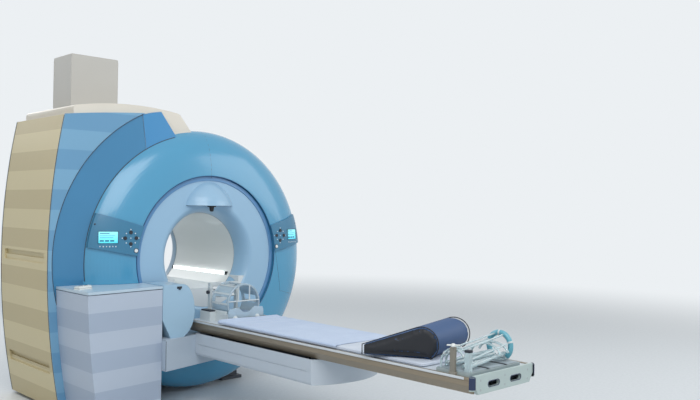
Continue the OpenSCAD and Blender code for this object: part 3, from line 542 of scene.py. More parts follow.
def on_ring(x, z, lift=0.0):
    """The point of the ring's crown at x and z of the front view, lifted off it."""
    out = (math.hypot(x, z - ring_z) - ring_inner_r) / (ring_r + lift - ring_inner_r)
    lean = math.asin(min(1.0, max(0.0, out)))
    return Vector((x, ring_back_y - (ring_depth + lift) * math.cos(lean), z))


def along(*corners, step=0.02):
    """Points every step along straight runs between corners of the front view."""
    out = []
    for (ax, az), (bx, bz) in zip(corners, corners[1:]):
        count = max(1, round(math.hypot(bx - ax, bz - az) / step))
        out += list(zip(steps(ax, bx, count), steps(az, bz, count)))[:-1]
    return out + [corners[-1]]


top_seam = (1.693, 1.72, 1.76, 1.80, 1.84, 1.88, 1.92, 1.96, 2.0, 2.03, 2.055, 2.068)
door_runs = [
    along((-0.995, 1.175), (-1.000, 1.000), (-0.990, 0.905)),
    along((0.655, 1.095), (0.720, 0.760), (0.960, 0.700)),
    [(0.0, z) for z in top_seam],
]
door_seams = [[on_ring(x, z, -0.0008) for x, z in run] for run in door_runs]
bead("door_seams", door_seams, 0.0018, seal_rubber_and_gap_shade, "base", flatten=0.6)
trim_run = hoop(0.6392, -0.6225, iso, count=144)
joint_navy = moulded("joint_navy", paint(28, 78, 122), 0.4)
bead("trim_joint", [trim_run], 0.0034, joint_navy, "base", closed=True)

# ---------------------------------------------------------------------------
# Control panels: moulded wedge plates on both shoulders of the ring. Each holds a lit
# screen, a cross of four dark keys with white arrows, a white stop key, a row of printed
# symbols and a status lamp.
panel_teal = moulded("panel_teal", paint(58, 122, 156), 0.36, 0.08, 0.00006, 0.3, 0.004, 0.2)
dress(panel_teal, "left_panel", "right_panel")
dark_key = moulded("key_rubber", paint(34, 40, 50), 0.5, 0.12, 0.0001, 0.25)
stop_white = moulded("stop_white", paint(228, 232, 232), 0.4, 0.05)
both_sides = (("left", -1), ("right", 1))
for side, _ in both_sides:
    dress(dark_key, *[f"{side}_key_{way}" for way in ("up", "down", "in", "out")])
    dress(stop_white, f"{side}_stop")


def screen_light(tree):
    """A lit screen's colour, paler toward its top."""
    fall = wire(tree, "ShaderNodeSeparateXYZ", {0: own_place(tree)})
    shade = spread(tree, fall.outputs["Z"], 1.195, 1.285)
    return blend(tree, shade, paint(70, 205, 232), paint(150, 240, 250))


screen_face = {
    "Roughness": 0.15, "Emission Color": "own", "Emission Strength": 0.55, "Coat Weight": 0.5,
}
dress(single("screen_glow", screen_light, screen_face), "screens")

mark_white = moulded("printed_white", paint(222, 232, 238), 0.45, 0.05)
screen_mark = moulded("screen_marks", paint(24, 96, 130), 0.4, 0.05)
lamp_dot = moulded("lamp_dot", paint(30, 44, 60), 0.2, 0.05, coat=0.6)


def panel_place(side, x, z, tilt, lean=0.0):
    """The frame of a key or screen on a control panel: x to the right, y up, z out of it."""
    aimed = Matrix.Rotation(math.radians(side * tilt), 4, "Z")
    aimed = aimed @ Matrix.Rotation(math.pi / 2, 4, "X")
    leant = Matrix.Rotation(math.radians(lean), 4, "X")
    return Matrix.Translation(on_ring(side * x, z, 0.016)) @ aimed @ leant


def slabs(name, backs, fronts, material, body, slot):
    """Thin plates in one piece, each between a back outline and the front one that matches it."""
    points, faces = [], []
    for back, front in zip(backs, fronts):
        first, count = len(points), len(back)
        points += back + front
        faces += [tuple(range(first, first + count))[::-1]]
        faces += [tuple(range(first + count, first + 2 * count))]
        for i in range(count):
            j = (i + 1) % count
            faces.append((first + i, first + j, first + count + j, first + count + i))
    return piece(name, points, faces, material, body)


def raised(name, shapes, place, low, high, material, body, slot):
    """Thin plates from flat outlines (x, y), which a third number may lift, from low to high."""
    levels = [
        [[place @ Vector((x, y, level + sum(rise))) for x, y, *rise in shape] for shape in shapes]
        for level in (low, high)
    ]
    return slabs(name, *levels, material, body, slot)


def oblong(x0, y0, x1, y1):
    """The corners of an upright oblong."""
    return [(x0, y0), (x1, y0), (x1, y1), (x0, y1)]


def disc(x, y, radius, count=16):
    """Points round a circle."""
    return arc(radius, [360 * i / count for i in range(count)], x, y)


# The panel's curve falls or rises a little under each arrow: (right, up, height of the panel).
arrow_ways = ((0, 1, -0.0022), (0, -1, 0.0012), (1, 0, -0.0025), (-1, 0, -0.0031))
arrow_tip, arrow_back, arrow_half = 0.0685, 0.0590, 0.0060
dot_off = 0.034
lamp_profile = [
    (0.0001, -0.002), (0.007, -0.002), (0.007, 0.0006), (0.0055, 0.0016), (0.003, 0.0022),
    (0.0001, 0.0024),
]
screen_lines = [
    oblong(-0.058, 0.026, 0.010, 0.031), oblong(-0.058, 0.010, 0.048, 0.013),
    oblong(-0.058, -0.004, 0.036, -0.001), oblong(-0.058, -0.030, -0.030, -0.020),
    oblong(-0.022, -0.030, 0.006, -0.020), oblong(0.014, -0.030, 0.042, -0.020),
]
for side, sign in both_sides:
    keys = panel_place(sign, 0.695, iso + 0.162, 6)
    arrows = []
    for dx, dy, rise in arrow_ways:
        ahead, across = Vector((sign * dx, dy)), Vector((-dy, sign * dx)) * arrow_half
        tip, back = arrow_tip * ahead, arrow_back * ahead
        arrows.append([(*point, rise) for point in (tip, back + across, back - across)])
    raised(f"{side}_key_arrows", arrows, keys, -0.0012, 0.0007, mark_white, "base", "white_plastic")
    spots = [(dx * dot_off, dy * dot_off) for dy in (1, -1) for dx in (1, -1)] + [(0.0, 0.0)]
    dots = [disc(sign * x, y, 0.0045) for x, y in spots]
    raised(f"{side}_key_dots", dots, keys, -0.0012, 0.0007, mark_white, "base", "white_plastic")
    collar = [keys @ Vector((x, y, 0.0)) for x, y in disc(sign * -0.042, -0.092, 0.0165, 32)]
    bead(f"{side}_stop_collar", [collar], 0.0016, dark_key, "base", closed=True)

    shown = panel_place(sign, 0.853, iso + 0.169, 20, -4)
    frame_run = [shown @ Vector((x, y, -0.0005)) for x, y in oblong(-0.0685, -0.043, 0.0685, 0.043)]
    bead(f"{side}_screen_frame", [frame_run], 0.0022, dark_key, "base", closed=True)
    raised(
        f"{side}_screen_marks", screen_lines, shown, -0.0042, -0.0036,
        screen_mark, "base", "dark_plastic",
    )
    symbols = []
    for i in range(6):
        x = -0.055 + 0.022 * i
        house = [(x - 0.004, -0.071), (x + 0.004, -0.071), (x + 0.004, -0.064), (x, -0.060)]
        house.append((x - 0.004, -0.064))
        mark = house if i % 2 else disc(x, -0.0655, 0.0042, 12)
        on_screen = [shown @ Vector((px, py, 0)) for px, py in mark]
        symbols.append([on_ring(q.x, q.z, 0.0161) for q in on_screen])
    half_print = Vector((0, 0.0006, 0))
    slabs(
        f"{side}_panel_symbols",
        [[q + half_print for q in mark] for mark in symbols],
        [[q - half_print for q in mark] for mark in symbols],
        mark_white, "base", "white_plastic",
    )
    lamp = panel_place(sign, 0.930, iso + 0.262, 28)
    turned(f"{side}_status_lamp", lamp_profile, lamp, lamp_dot, "base", 24)

# ---------------------------------------------------------------------------
# Body shell: big moulded covers on the magnet's left side, each with broad level stripes
# in two tones. A mid-blue band and cap slope forward to the ring, a warm white cover closes
# the top, and a round steel-blue cover wraps the right side and the back.
stripes, given = recipe(
    "broad_stripes",
    "ShaderNodeTree",
    [
        ("Light", "Color", (0.6, 0.6, 0.5, 1)),
        ("Dark", "Color", (0.5, 0.5, 0.4, 1)),
        ("Top", "Float", 2.0),
        ("Pitch", "Float", 0.142),
    ],
    [("Color", "Color")],
)
height = wire(stripes, "ShaderNodeSeparateXYZ", {0: own_place(stripes)}).outputs["Z"]
below = reckon(stripes, "SUBTRACT", given["Top"], height)
pair = reckon(stripes, "MULTIPLY", given["Pitch"], 2.0)
part = reckon(stripes, "FRACT", reckon(stripes, "DIVIDE", below, pair))
into_dark = spread(stripes, part, 0.497, 0.503)
out_of_dark = spread(stripes, part, 0.997, 1.0, 1.0, 0.5)
dark_part = reckon(stripes, "MULTIPLY", into_dark, out_of_dark)
toned = blend(stripes, dark_part, given["Light"], given["Dark"])
wire(stripes, "NodeGroupOutput", {"Color": toned})


def striped(light_tone, dark_tone, top=2.0, pitch=0.142):
    """Lets broad level stripes set the colour of a moulded cover."""
    tones = {"Light": light_tone, "Dark": dark_tone, "Top": top, "Pitch": pitch}

    def feed(tree, socket):
        band = wire(tree, "ShaderNodeGroup", tones, node_tree=stripes)
        tree.links.new(band.outputs["Color"], socket)
    return feed


for node, name, base, roughness, mottle, wear, tones in (
    (
        "front_panel", "front_panel_stripes", paint(112, 158, 190), 0.42, 0.06, 0.2,
        striped(paint(119, 166, 197), paint(103, 152, 187)),
    ),
    (
        "side_cover", "side_cover_stripes", paint(202, 188, 150), 0.46, 0.06, 0.25,
        striped(paint(210, 197, 158), paint(193, 179, 140)),
    ),
    (
        "rear_panel", "rear_panel_stripes", paint(160, 172, 182), 0.46, 0.07, 0.25,
        striped(paint(178, 186, 192), paint(158, 168, 176)),
    ),
):
    dress(moulded(name, base, roughness, mottle, wear=wear, color_from=tones), node)
warm_white = moulded("top_warm_white", paint(218, 212, 200), 0.46, 0.07, wear=0.25)
steel_blue = moulded("drum_steel_blue", paint(138, 166, 188), 0.42, 0.08, wear=0.25)
dress(steel_blue, "drum_cover", "rear_cover")
bulge_x, bulge_r = 4.117, 5.356


def barrel(z, inset=0.0):
    """How far left the bulging side of the shell lies at height z."""
    return bulge_x - math.sqrt((bulge_r - inset) ** 2 - (z - iso) ** 2)


sill_z, eave_z = 0.026, 2.098
edge_run = [(barrel(z, 0.0012), z) for z in steps(sill_z, eave_z, 40)]
edge_runs = [[(x, y, z) for x, z in edge_run] for y in (-0.4798, 0.3722)]
bead("side_cover_seals", edge_runs, 0.0034, seal_rubber_and_gap_shade, "base")
# A dark bead along the band's outer arc, in the step below the front panel: its dark colour is
# painted shade for the shadow gap there.
band_run = hoop(1.2132, -0.4950, iso, 120, 116.3, 240.3)
band_run = [(x, y, z) for x, y, z in band_run if z > 0.03 and x > barrel(z, 0.004)]
bead("band_edge_shadow_bead", [band_run], 0.0032, seal_rubber_and_gap_shade, "base", flatten=0.6)


def plate(name, front, thick, material, body):
    """A moulded plate from rows of points on its front; it is thick along the bore's axis."""
    work = bmesh.new()
    rows = [[work.verts.new(p) for p in row] for row in front]
    back = [[work.verts.new(Vector(p) + Vector((0, thick, 0))) for p in row] for row in front]
    last, end = len(rows) - 1, len(rows[0]) - 1
    for grid in (rows, back):
        for i in range(last):
            for j in range(end):
                corners = (grid[i][j], grid[i][j + 1], grid[i + 1][j + 1], grid[i + 1][j])
                work.faces.new(corners)
    rim = [(0, j) for j in range(end)] + [(i, end) for i in range(last)]
    rim += [(last, end - j) for j in range(end)] + [(last - i, 0) for i in range(last)]
    for (i, j), (k, m) in zip(rim, rim[1:] + rim[:1]):
        work.faces.new((rows[i][j], rows[k][m], back[k][m], back[i][j]))
    bmesh.ops.recalc_face_normals(work, faces=work.faces)
    return cast(name, work, material, body, sharp=35)


# The band and the cap slope forward from the front panel's arc to the ring. Behind the
# column the band stays flat.
column_top_z, column_left_x, column_right_x, column_back_y = 0.915, -1.2, -0.55, -0.4935


def behind_column(x, y, z):
    """The point itself, or one just behind the column where the column stands."""
    if z < column_top_z and column_left_x < x < column_right_x:
        y = max(y, column_back_y)
    return Vector((x, y, z))


def sloping(outer, inner):
    """Rows of points from the outer edge to the inner one, kept behind the column."""
    pairs = [(Vector(a), Vector(b)) for a, b in zip(outer, inner)]
    return [[behind_column(*a.lerp(b, share)) for a, b in pairs] for share in steps(0, 1, 6)]


band_y, band_inner_r, band_inner_y, band_thick = -0.489, 0.982, -0.5105, 0.006
band_blue = moulded("band_blue", paint(58, 127, 170), 0.3, 0.1, 0.00005, 0.2, coat=0.4)
cap_blue = moulded("cap_blue", paint(62, 138, 190), 0.28, 0.08, 0.00005, 0.2, coat=0.4)
band_outer = hoop(1.2122, band_y, iso, 120, 116.45, 239.6)
band_inner = hoop(band_inner_r, band_inner_y, ring_z, 120, 121.6, 244.7)
band_rows = sloping(band_outer, band_inner)
band = plate("band_plate", band_rows, band_thick, band_blue, "base")
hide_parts("band_cover")
cap_top = [
    (-0.5345 + 0.1535 * t, band_y - 0.003 * t, 2.1575 + 0.0345 * t + 0.0035 * math.sin(math.pi * t))
    for t in steps(0, 1, 12)
]
cap_rows = sloping(cap_top, hoop(band_inner_r, band_inner_y, ring_z, 12, 121.35, 104.8))
cap = plate("cap_plate", cap_rows, band_thick, cap_blue, "base")
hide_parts("band_cap")
joint_blue = moulded("joint_blue", paint(120, 156, 184), 0.4)
seam_top, seam_foot = Vector((-0.5375, -0.4892, 2.1580)), Vector((-0.5130, -0.5103, 1.8885))
seam_run = [seam_top.lerp(seam_foot, share) for share in steps(0, 1, 8)]
bead("cap_seam", [seam_run], 0.0026, joint_blue, "base", flatten=0.5)
# A dark bead where the band meets the ring: its dark colour is painted shade for the gap there.
foot_run = [behind_column(*p) for p in hoop(0.9895, band_inner_y, ring_z, 120, 106, 243)]
bead("band_foot_shadow_bead", [foot_run], 0.003, seal_rubber_and_gap_shade, "base")

# The top cover is one moulding with a closed front. Its crown is gently rounded, its right
# end slopes down to the ring, and a ledge on its left closes the side cover.
cover_front_y, cover_back_y = -0.4795, 0.3715
crown_r, crown_x, crown_middle_z = 2.400, -0.600, -0.177
crown_xs = steps(-1.060, -0.213, 36)
crown_run = [(x, crown_middle_z + math.sqrt(crown_r ** 2 - (x - crown_x) ** 2)) for x in crown_xs]
saddle_r, saddle_xs = 1.008, (-0.14, -0.20, -0.26, -0.32, -0.38, -0.42)
saddle_run = [(x, ring_z + math.sqrt(saddle_r ** 2 - x * x)) for x in saddle_xs]
right_run = [(-0.207, 2.184), (-0.101, 2.0545)]
foot_run = [(-0.50, 2.045), (-1.072, 2.045)]
shell_run = [(-1.072, 2.160), (-1.0705, 2.168)] + crown_run + right_run + saddle_run + foot_run
work = bmesh.new()
front, back = [
    [work.verts.new((x, y, z)) for x, z in shell_run] for y in (cover_front_y, cover_back_y)
]
work.faces.new(front)
work.faces.new(back[::-1])
for i in range(len(shell_run)):
    j = (i + 1) % len(shell_run)
    work.faces.new((front[i], front[j], back[j], back[i]))
level_edges = [e for e in work.edges if abs(e.verts[0].co.y - e.verts[1].co.y) < 1e-6]
crown_edges = [e for e in level_edges if min(v.co.z for v in e.verts) > 2.14]
bmesh.ops.bevel(work, geom=crown_edges, offset=0.007, segments=3, profile=0.5, affect="EDGES")
bmesh.ops.recalc_face_normals(work, faces=work.faces)
top_shell = cast("top_shell", work, warm_white, "base", sharp=30)
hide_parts("top_cover")

# A curved skirt carries the round cover on over the left half, between the rear panel and
# the rear cover's rim.
skirt_section = ((0.9900, 0.3872), (0.9900, 0.5653), (0.9830, 0.5653), (0.9830, 0.3872))
points = [p for r, y in skirt_section for p in hoop(r, y, iso, 80, 96.6, 252.0)]
faces = [(0, 81, 162, 243), (323, 242, 161, 80)]
for k in range(4):
    here, there = 81 * k, 81 * ((k + 1) % 4)
    faces += [(here + i, here + i + 1, there + i + 1, there + i) for i in range(80)]
piece("drum_skirt", points, faces, steel_blue, "base", smooth=True, sharp=35)

# Screw heads with a hex socket, set in rows on the covers they hold.
screw_plan, given = plan(
    "screw_heads",
    [("Radius", "Float", 0.006), ("Height", "Float", 0.003), ("Material", "Material", None)],
)
tall = given["Height"]
head = {"Vertices": 20, "Radius": given["Radius"], "Depth": tall}
head = wire(screw_plan, "GeometryNodeMeshCylinder", head)
small = reckon(screw_plan, "MULTIPLY", given["Radius"], 0.5)
socket = {"Vertices": 6, "Radius": small, "Depth": tall}
socket = wire(screw_plan, "GeometryNodeMeshCylinder", socket)
lifted = wire(screw_plan, "ShaderNodeCombineXYZ", {2: tall})
socket = wire(screw_plan, "GeometryNodeTransform", {"Geometry": socket, "Translation": lifted})
cut = wire(screw_plan, "GeometryNodeMeshBoolean", {0: head, 1: socket}, operation="DIFFERENCE")
half_down = reckon(screw_plan, "MULTIPLY", tall, -0.55)
half_down = wire(screw_plan, "ShaderNodeCombineXYZ", {2: half_down})
cut = wire(screw_plan, "GeometryNodeTransform", {"Geometry": cut, "Translation": half_down})
aim = wire(screw_plan, "GeometryNodeInputNamedAttribute", {"Name": "aim"}, data_type="FLOAT_VECTOR")
turn = wire(screw_plan, "FunctionNodeAlignEulerToVector", {"Vector": aim}, axis="Z")
seats = wire(screw_plan, "GeometryNodeMeshToPoints", {0: given["Geometry"]})
stuck = {"Points": seats, "Instance": cut, "Rotation": turn}
kept(screw_plan, given, wire(screw_plan, "GeometryNodeInstanceOnPoints", stuck))


def screws(name, seats, material, body, radius=0.006, height=0.003):
    """Screw heads at (point, direction) seats."""
    values = {"Radius": radius, "Height": height, "Material": material}
    start, aims = ([point for point, _ in seats], [], []), [way for _, way in seats]
    return grow(name, start, screw_plan, values, body, smooth=False, aims=aims)


screw_zinc = metal("screw_zinc", paint(168, 172, 178), 0.3, (1, 1, 1), 0.2)
panel_back_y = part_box("rear_panel")[1][1]
rear_back_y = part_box("rear_cover")[1][1]
rear_way, left_way = (0, 1, 0), (-1, 0, 0)
rim_spots = arc(0.93, range(-75, 90, 15), 0.0, iso)
seats = [((x, rear_back_y - 0.0005, z), rear_way) for x, z in rim_spots]
for x, heights in ((-1.12, (0.35, 0.8, 1.3, 1.8)), (-0.95, (0.12, 2.05))):
    seats += [((x, panel_back_y - 0.0005, z), rear_way) for z in heights]
screws("rear_rim_screws", seats, screw_zinc, "base")
heights = (0.10, 0.70, 1.55, 2.02)
seats = [((barrel(z, 0.0005), y, z), left_way) for y in (-0.43, 0.33) for z in heights]
screws("side_cover_screws", seats, warm_white, "base", 0.005, 0.002)


def block(name, low, high, material, body, bevel=0.003, place=None, segments=3):
    """A box with rounded edges between two corners, set in a frame of its own if one is given."""
    work = bmesh.new()
    bmesh.ops.create_cube(work, size=1)
    low, high = Vector(low), Vector(high)
    for vertex in work.verts:
        share = [c + 0.5 for c in vertex.co]
        vertex.co = [a + t * (b - a) for a, b, t in zip(low, high, share)]
    bmesh.ops.bevel(
        work, geom=work.edges[:], offset=bevel, segments=segments, profile=0.5, affect="EDGES"
    )
    if place:
        bmesh.ops.transform(work, matrix=place, verts=work.verts)
    return cast(name, work, material, body, sharp=40)


ledge_low, ledge_high = (-1.0952, cover_front_y, 2.0930), (-1.0710, cover_back_y, 2.1000)
block("top_ledge", ledge_low, ledge_high, warm_white, "base", 0.001)

# The air outlet at the back: a row of bent slats in a shallow frame.
slat_plan, given = plan(
    "slat_row",
    [
        ("Count", "Int", 10),
        ("Step", "Vector", (0, 0, 0.02)),
        ("Size", "Vector", (0.3, 0.01, 0.003)),
        ("Tilt", "Float", 0.5),
        ("Material", "Material", None),
    ],
)
spots = {"Count": given["Count"], "Offset": given["Step"]}
spots = wire(slat_plan, "GeometryNodeMeshLine", spots)
slat = wire(slat_plan, "GeometryNodeMeshCube", {"Size": given["Size"]})
lean = wire(slat_plan, "ShaderNodeCombineXYZ", {0: given["Tilt"]})
lean = wire(slat_plan, "FunctionNodeEulerToRotation", {0: lean})
laid = {"Points": spots, "Instance": slat, "Rotation": lean}
kept(slat_plan, given, wire(slat_plan, "GeometryNodeInstanceOnPoints", laid))
grille_grey = moulded("grille_grey", paint(112, 120, 128), 0.5, 0.1, wear=0.3)
grille_y = panel_back_y - 0.001
slats = grow(
    "rear_grille_slats", ([(0, 0, 0)], [], []), slat_plan,
    {
        "Count": 16, "Step": (0, 0, -0.022), "Size": (0.16, 0.012, 0.0025), "Tilt": 0.6,
        "Material": grille_grey,
    },
    "base", smooth=False,
)
slats.data.transform(Matrix.Translation((-1.05, grille_y, 1.42)))
frame_run = [(x, grille_y, z) for x, z in oblong(-1.138, 1.44, -0.962, 1.07)]
bead("rear_grille_frame", [frame_run], 0.005, grille_grey, "base", closed=True)

# ---------------------------------------------------------------------------
# Duct shaft: a folded and painted sheet-metal shaft on the top cover that hides the vent
# line. A folded collar meets the cover, and two vertical lap joints are riveted.
duct_paint = moulded("duct_paint", paint(188, 186, 180), 0.5, 0.09, wear=0.4)
dress(duct_paint, "duct_shaft")
duct_x, duct_y, duct_foot_z, duct_top_z = -0.724, 0.080, 2.226, 2.600
folds = [
    [(duct_x + right * 0.1902, duct_y + deep * 0.1577, z) for z in (duct_foot_z, duct_top_z)]
    for right, deep in ((1, 1), (-1, 1), (1, -1), (-1, -1))
]
bead("duct_corner_folds", folds, 0.0016, duct_paint, "base")
rivets = [
    ((duct_x + way * 0.1898, duct_y - 0.12, z), (way, 0, 0))
    for way in (-1, 1) for z in (2.27, 2.37, 2.47, 2.57)
]
rivets += [
    ((duct_x + x, duct_y + way * 0.1573, 2.585), (0, way, 0))
    for way in (-1, 1) for x in (-0.15, -0.05, 0.05, 0.15)
]
screws("duct_rivets", rivets, duct_paint, "base", 0.0045, 0.0016)

# ---------------------------------------------------------------------------
# Lift column: a moulded cover with level stripes stands on the floor in front of the ring,
# under a thick pale lid with a shadow gap. A guide frame, a lifting screw and a geared
# motor stand inside. The hand control lies on the lid.
column_tones = striped(paint(164, 178, 197), paint(181, 193, 209), 0.760, 0.131)
column_stripes = moulded(
    "column_stripes", paint(170, 184, 200), 0.44, 0.06, wear=0.3, color_from=column_tones
)
dress(column_stripes, "column_cover")
dress(moulded("lid_pale_blue", paint(186, 206, 220), 0.34, 0.06, wear=0.3, coat=0.2), "column_lid")
guide_steel = metal("guide_steel", paint(150, 156, 162), 0.38, (1, 1, 0.02))
dress(guide_steel, "guide_column", "lift_screw")
dress(moulded("motor_paint", paint(66, 74, 84), 0.5, 0.12, 0.0002, 0.5), "lift_motor")
control_white = moulded("control_white", paint(222, 226, 224), 0.4, 0.06, wear=0.3)
dress(control_white, "hand_control")
trim_run = [(-0.5845, -0.4995, 0.016), (-0.5845, -0.899, 0.016), (-1.104, -0.9715, 0.016)]
bead("column_base_trim", [trim_run], 0.004, seal_rubber_and_gap_shade, "base", flatten=0.6)
grip = Matrix.Translation((-1.110, -0.760, 0.899)) @ Matrix.Rotation(math.radians(24), 4, "Z")
grip_keys = [
    disc(-0.036, 0, 0.0075, 24), disc(-0.014, 0, 0.0075, 24), oblong(0.012, -0.006, 0.040, 0.006),
]
raised("hand_control_keys", grip_keys, grip, 0.0236, 0.0252, dark_key, "base", "dark_plastic")
grip_run = [grip @ Vector((x, y, 0.009)) for x, y in oblong(-0.0602, -0.0245, 0.0602, 0.0245)]
bead("hand_control_seam", [grip_run], 0.0007, dark_key, "base", closed=True)

# ---------------------------------------------------------------------------
# Carriage and arm: a steel carriage rides on the guide frame and carries the arm that
# reaches under the table. A rounded cover and a straight arm cover, both moulded, hide it,
# and a small dark latch holds the rounded one.
dress(moulded("carriage_paint", paint(120, 126, 132), 0.5, 0.12, wear=0.5), "lift_carriage")
carriage_blue = moulded("carriage_blue", paint(158, 190, 212), 0.36, 0.06, wear=0.25, coat=0.2)
dress(carriage_blue, "carriage_cover")
arm_pale = moulded("arm_pale", paint(176, 190, 204), 0.4, 0.06, wear=0.3)
arm = nodes["arm_cover"].copy()
arm.data = nodes["arm_cover"].data.copy()
arm.name = "arm_moulding"
bpy.context.scene.collection.objects.link(arm)
arm_low_z, arm_high_z = [corner[2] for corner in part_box("arm_cover")]
arm_foot_z, arm_top_z = 0.300, 0.522
work = bmesh.new()
work.from_mesh(arm.data)
bmesh.ops.remove_doubles(work, verts=work.verts, dist=1e-5)
for vertex in work.verts:
    share = (vertex.co.z - arm_low_z) / (arm_high_z - arm_low_z)
    vertex.co.z = arm_foot_z + share * (arm_top_z - arm_foot_z)
work.to_mesh(arm.data)
work.free()
arm.data.materials.clear()
arm.data.materials.append(arm_pale)
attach(arm, "lift")
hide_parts("arm_cover")
wall_low, wall_high = (-0.5820, -0.9460, 0.3070), (-0.5780, -0.8780, 0.5150)
block("arm_end_wall", wall_low, wall_high, arm_pale, "lift", 0.001)
dress(moulded("beam_pale", paint(188, 198, 208), 0.42, 0.07, wear=0.4), "table_beam")
dress(metal("rail_steel", paint(172, 178, 184), 0.3, (1, 0.02, 1)), "slide_rails")
dress(moulded("roller_rubber", paint(46, 48, 52), 0.6, 0.15, 0.0003, 0.1), "drive_roller")
for name, low, high, bevel in (
    ("carriage_latch", (-0.470, -0.9085, 0.874), (-0.430, -0.9035, 0.890), 0.002),
    ("carriage_latch_tab", (-0.458, -0.912, 0.866), (-0.442, -0.907, 0.884), 0.0018),
):
    block(name, low, high, dark_key, "lift", bevel)
seam_run = [(-0.5815, -0.9575, z) for z in (0.308, 0.514)]
bead("arm_cover_seam", [seam_run], 0.0014, seal_rubber_and_gap_shade, "lift")

# ---------------------------------------------------------------------------
# Tabletop: a hollow laminate top with a moulded surface between two drawn aluminium side
# rails. A cast plate with two hand holes and soft dark corner bumpers closes its foot end,
# and a clamping post with a cross lever is bolted to its near side.
tabletop_white = moulded("tabletop_white", paint(204, 212, 220), 0.36, 0.06, wear=0.3, coat=0.2)
dress(tabletop_white, "tabletop")
rail_brown = metal("rail_brown", paint(150, 138, 120), 0.36, (1, 0.015, 1), 0.3, 0.55)
dress(rail_brown, "side_rails")
dress(moulded("end_pale_green", paint(184, 200, 198), 0.42, 0.08, wear=0.5), "end_plate")
# A pale strip along the top edge of each rail: its near-white colour is a painted highlight for the
# light that falls on the beam's top face.
painted_highlight_lip = moulded("pale_lip_painted_highlight", paint(206, 212, 216), 0.4, 0.05, wear=0.2)
bumper = moulded("bumper_blue", paint(38, 52, 84), 0.55, 0.12, 0.0003, 0.3)
pad_profile = [
    (0.0001, 0.560), (0.020, 0.560), (0.0246, 0.565), (0.0250, 0.572), (0.0250, 0.618),
    (0.0246, 0.627), (0.021, 0.6315), (0.0001, 0.6315),
]
pad_x, pad_y = 0.266, -3.382
for side, sign in both_sides:
    near, far = sorted((sign * 0.2901, sign * 0.2925))
    # The pale lip's colour is a painted highlight.
    lip_low, lip_high = (near, -3.350, 0.6125), (far, -0.764, 0.6262)
    block(
        f"{side}_painted_highlight_lip", lip_low, lip_high, painted_highlight_lip, "tabletop", 0.0008,
        segments=2,
    )
    start = 180 if sign < 0 else 270
    points = [
        (x, y, z) for radius, z in pad_profile
        for x, y in arc(radius, steps(start, start + 90, 12), sign * pad_x, pad_y)
    ]
    starts = [13 * row for row in range(len(pad_profile))]
    faces = [(a, a + 1, a + 14, a + 13) for first in starts[:-1] for a in range(first, first + 12)]
    faces += [tuple(starts), tuple(first + 12 for first in starts)[::-1]]
    piece(f"{side}_bumper", points, faces, bumper, "tabletop")


def soft_corners(x0, y0, x1, y1, radius, count=5):
    """An oblong outline with rounded corners."""
    corners = oblong(x0 + radius, y0 + radius, x1 - radius, y1 - radius)
    turns = zip(corners[2:] + corners[:2], (0, 90, 180, 270))
    turns = [(x, y, steps(start, start + 90, count)) for (x, y), start in turns]
    return [p for x, y, turn in turns for p in arc(radius, turn, x, y)]


hole_l, hole_foot_z, hole_top_z, hole_r, plate_y = 0.100, 0.563, 0.593, 0.014, -3.4
for side, x0 in (("left", -0.150), ("right", 0.050)):
    rim_view = soft_corners(x0, hole_foot_z, x0 + hole_l, hole_top_z, hole_r, 6)
    rim_run = [(x, plate_y, z) for x, z in rim_view]
    rim_name = f"{side}_hand_hole_rim"
    bead(rim_name, [rim_run], 0.0022, bumper, "tabletop", closed=True)
foot_way = (0, -1, 0)
seats = [((x, -3.4002, z), foot_way) for x in (-0.215, 0.0, 0.215) for z in (0.556, 0.606)]
screws("end_plate_screws", seats, screw_zinc, "tabletop", 0.0055, 0.0024)
seats = [
    ((sign * 0.2898, -3.30 + 0.32 * i, 0.594), (sign, 0, 0)) for sign in (-1, 1) for i in range(8)
]
screws("rail_screws", seats, screw_zinc, "tabletop", 0.0045, 0.0018)
post_grey = moulded("post_grey", paint(132, 128, 118), 0.45, 0.12, wear=0.6)
for name, low, high, bevel in (
    ("rail_clamp", (-0.2895, -3.292, 0.600), (-0.262, -3.248, 0.640), 0.003),
    ("rail_post", (-0.2885, -3.287, 0.624), (-0.270, -3.253, 0.768), 0.004),
):
    block(name, low, high, post_grey, "tabletop", bevel)
cross = Matrix.Translation((-0.279, -3.270, 0.776))
hub_profile = [
    (0.0001, -0.009), (0.010, -0.009), (0.012, -0.005), (0.012, 0.003), (0.010, 0.007),
    (0.006, 0.009), (0.0001, 0.0095),
]
turned("lever_hub", hub_profile, cross, control_white, "tabletop", 24)
arm_low, arm_high = (-0.034, -0.005, -0.003), (0.034, 0.005, 0.004)
for i in range(2):
    swing_to = cross @ Matrix.Rotation(math.radians(40 + 90 * i), 4, "Z")
    block(
        f"lever_arm_{i + 1}", arm_low, arm_high, control_white, "tabletop",
        0.002, swing_to,
    )

# ---------------------------------------------------------------------------
# Mattress: one long slab of foam in a coated white cover, welded along piped edges. It
# lies loose on the tabletop between the side rails, pressed flat underneath.
weave, given = recipe(
    "cloth_weave",
    "ShaderNodeTree",
    [
        ("Color", "Color", (0.7, 0.75, 0.8, 1)),
        ("Thread Color", "Color", (0.6, 0.65, 0.7, 1)),
        ("Threads", "Float", 900.0),
        ("Depth", "Float", 0.0002),
        ("Creases", "Float", 0.001),
        ("Roughness", "Float", 0.8),
    ],
    surface_outs,
)
where = own_place(weave)
sized = {0: where, "Scale": given["Threads"]}
sized = wire(weave, "ShaderNodeVectorMath", sized, operation="SCALE")
strands = wire(weave, "ShaderNodeSeparateXYZ", {0: sized}).outputs
warp, weft = reckon(weave, "SINE", strands["X"]), reckon(weave, "SINE", strands["Y"])
level = spread(weave, reckon(weave, "MULTIPLY", warp, weft), -1.0, 1.0)
slub = speckle(weave, where, 7.0, Detail=6, Roughness=0.6)
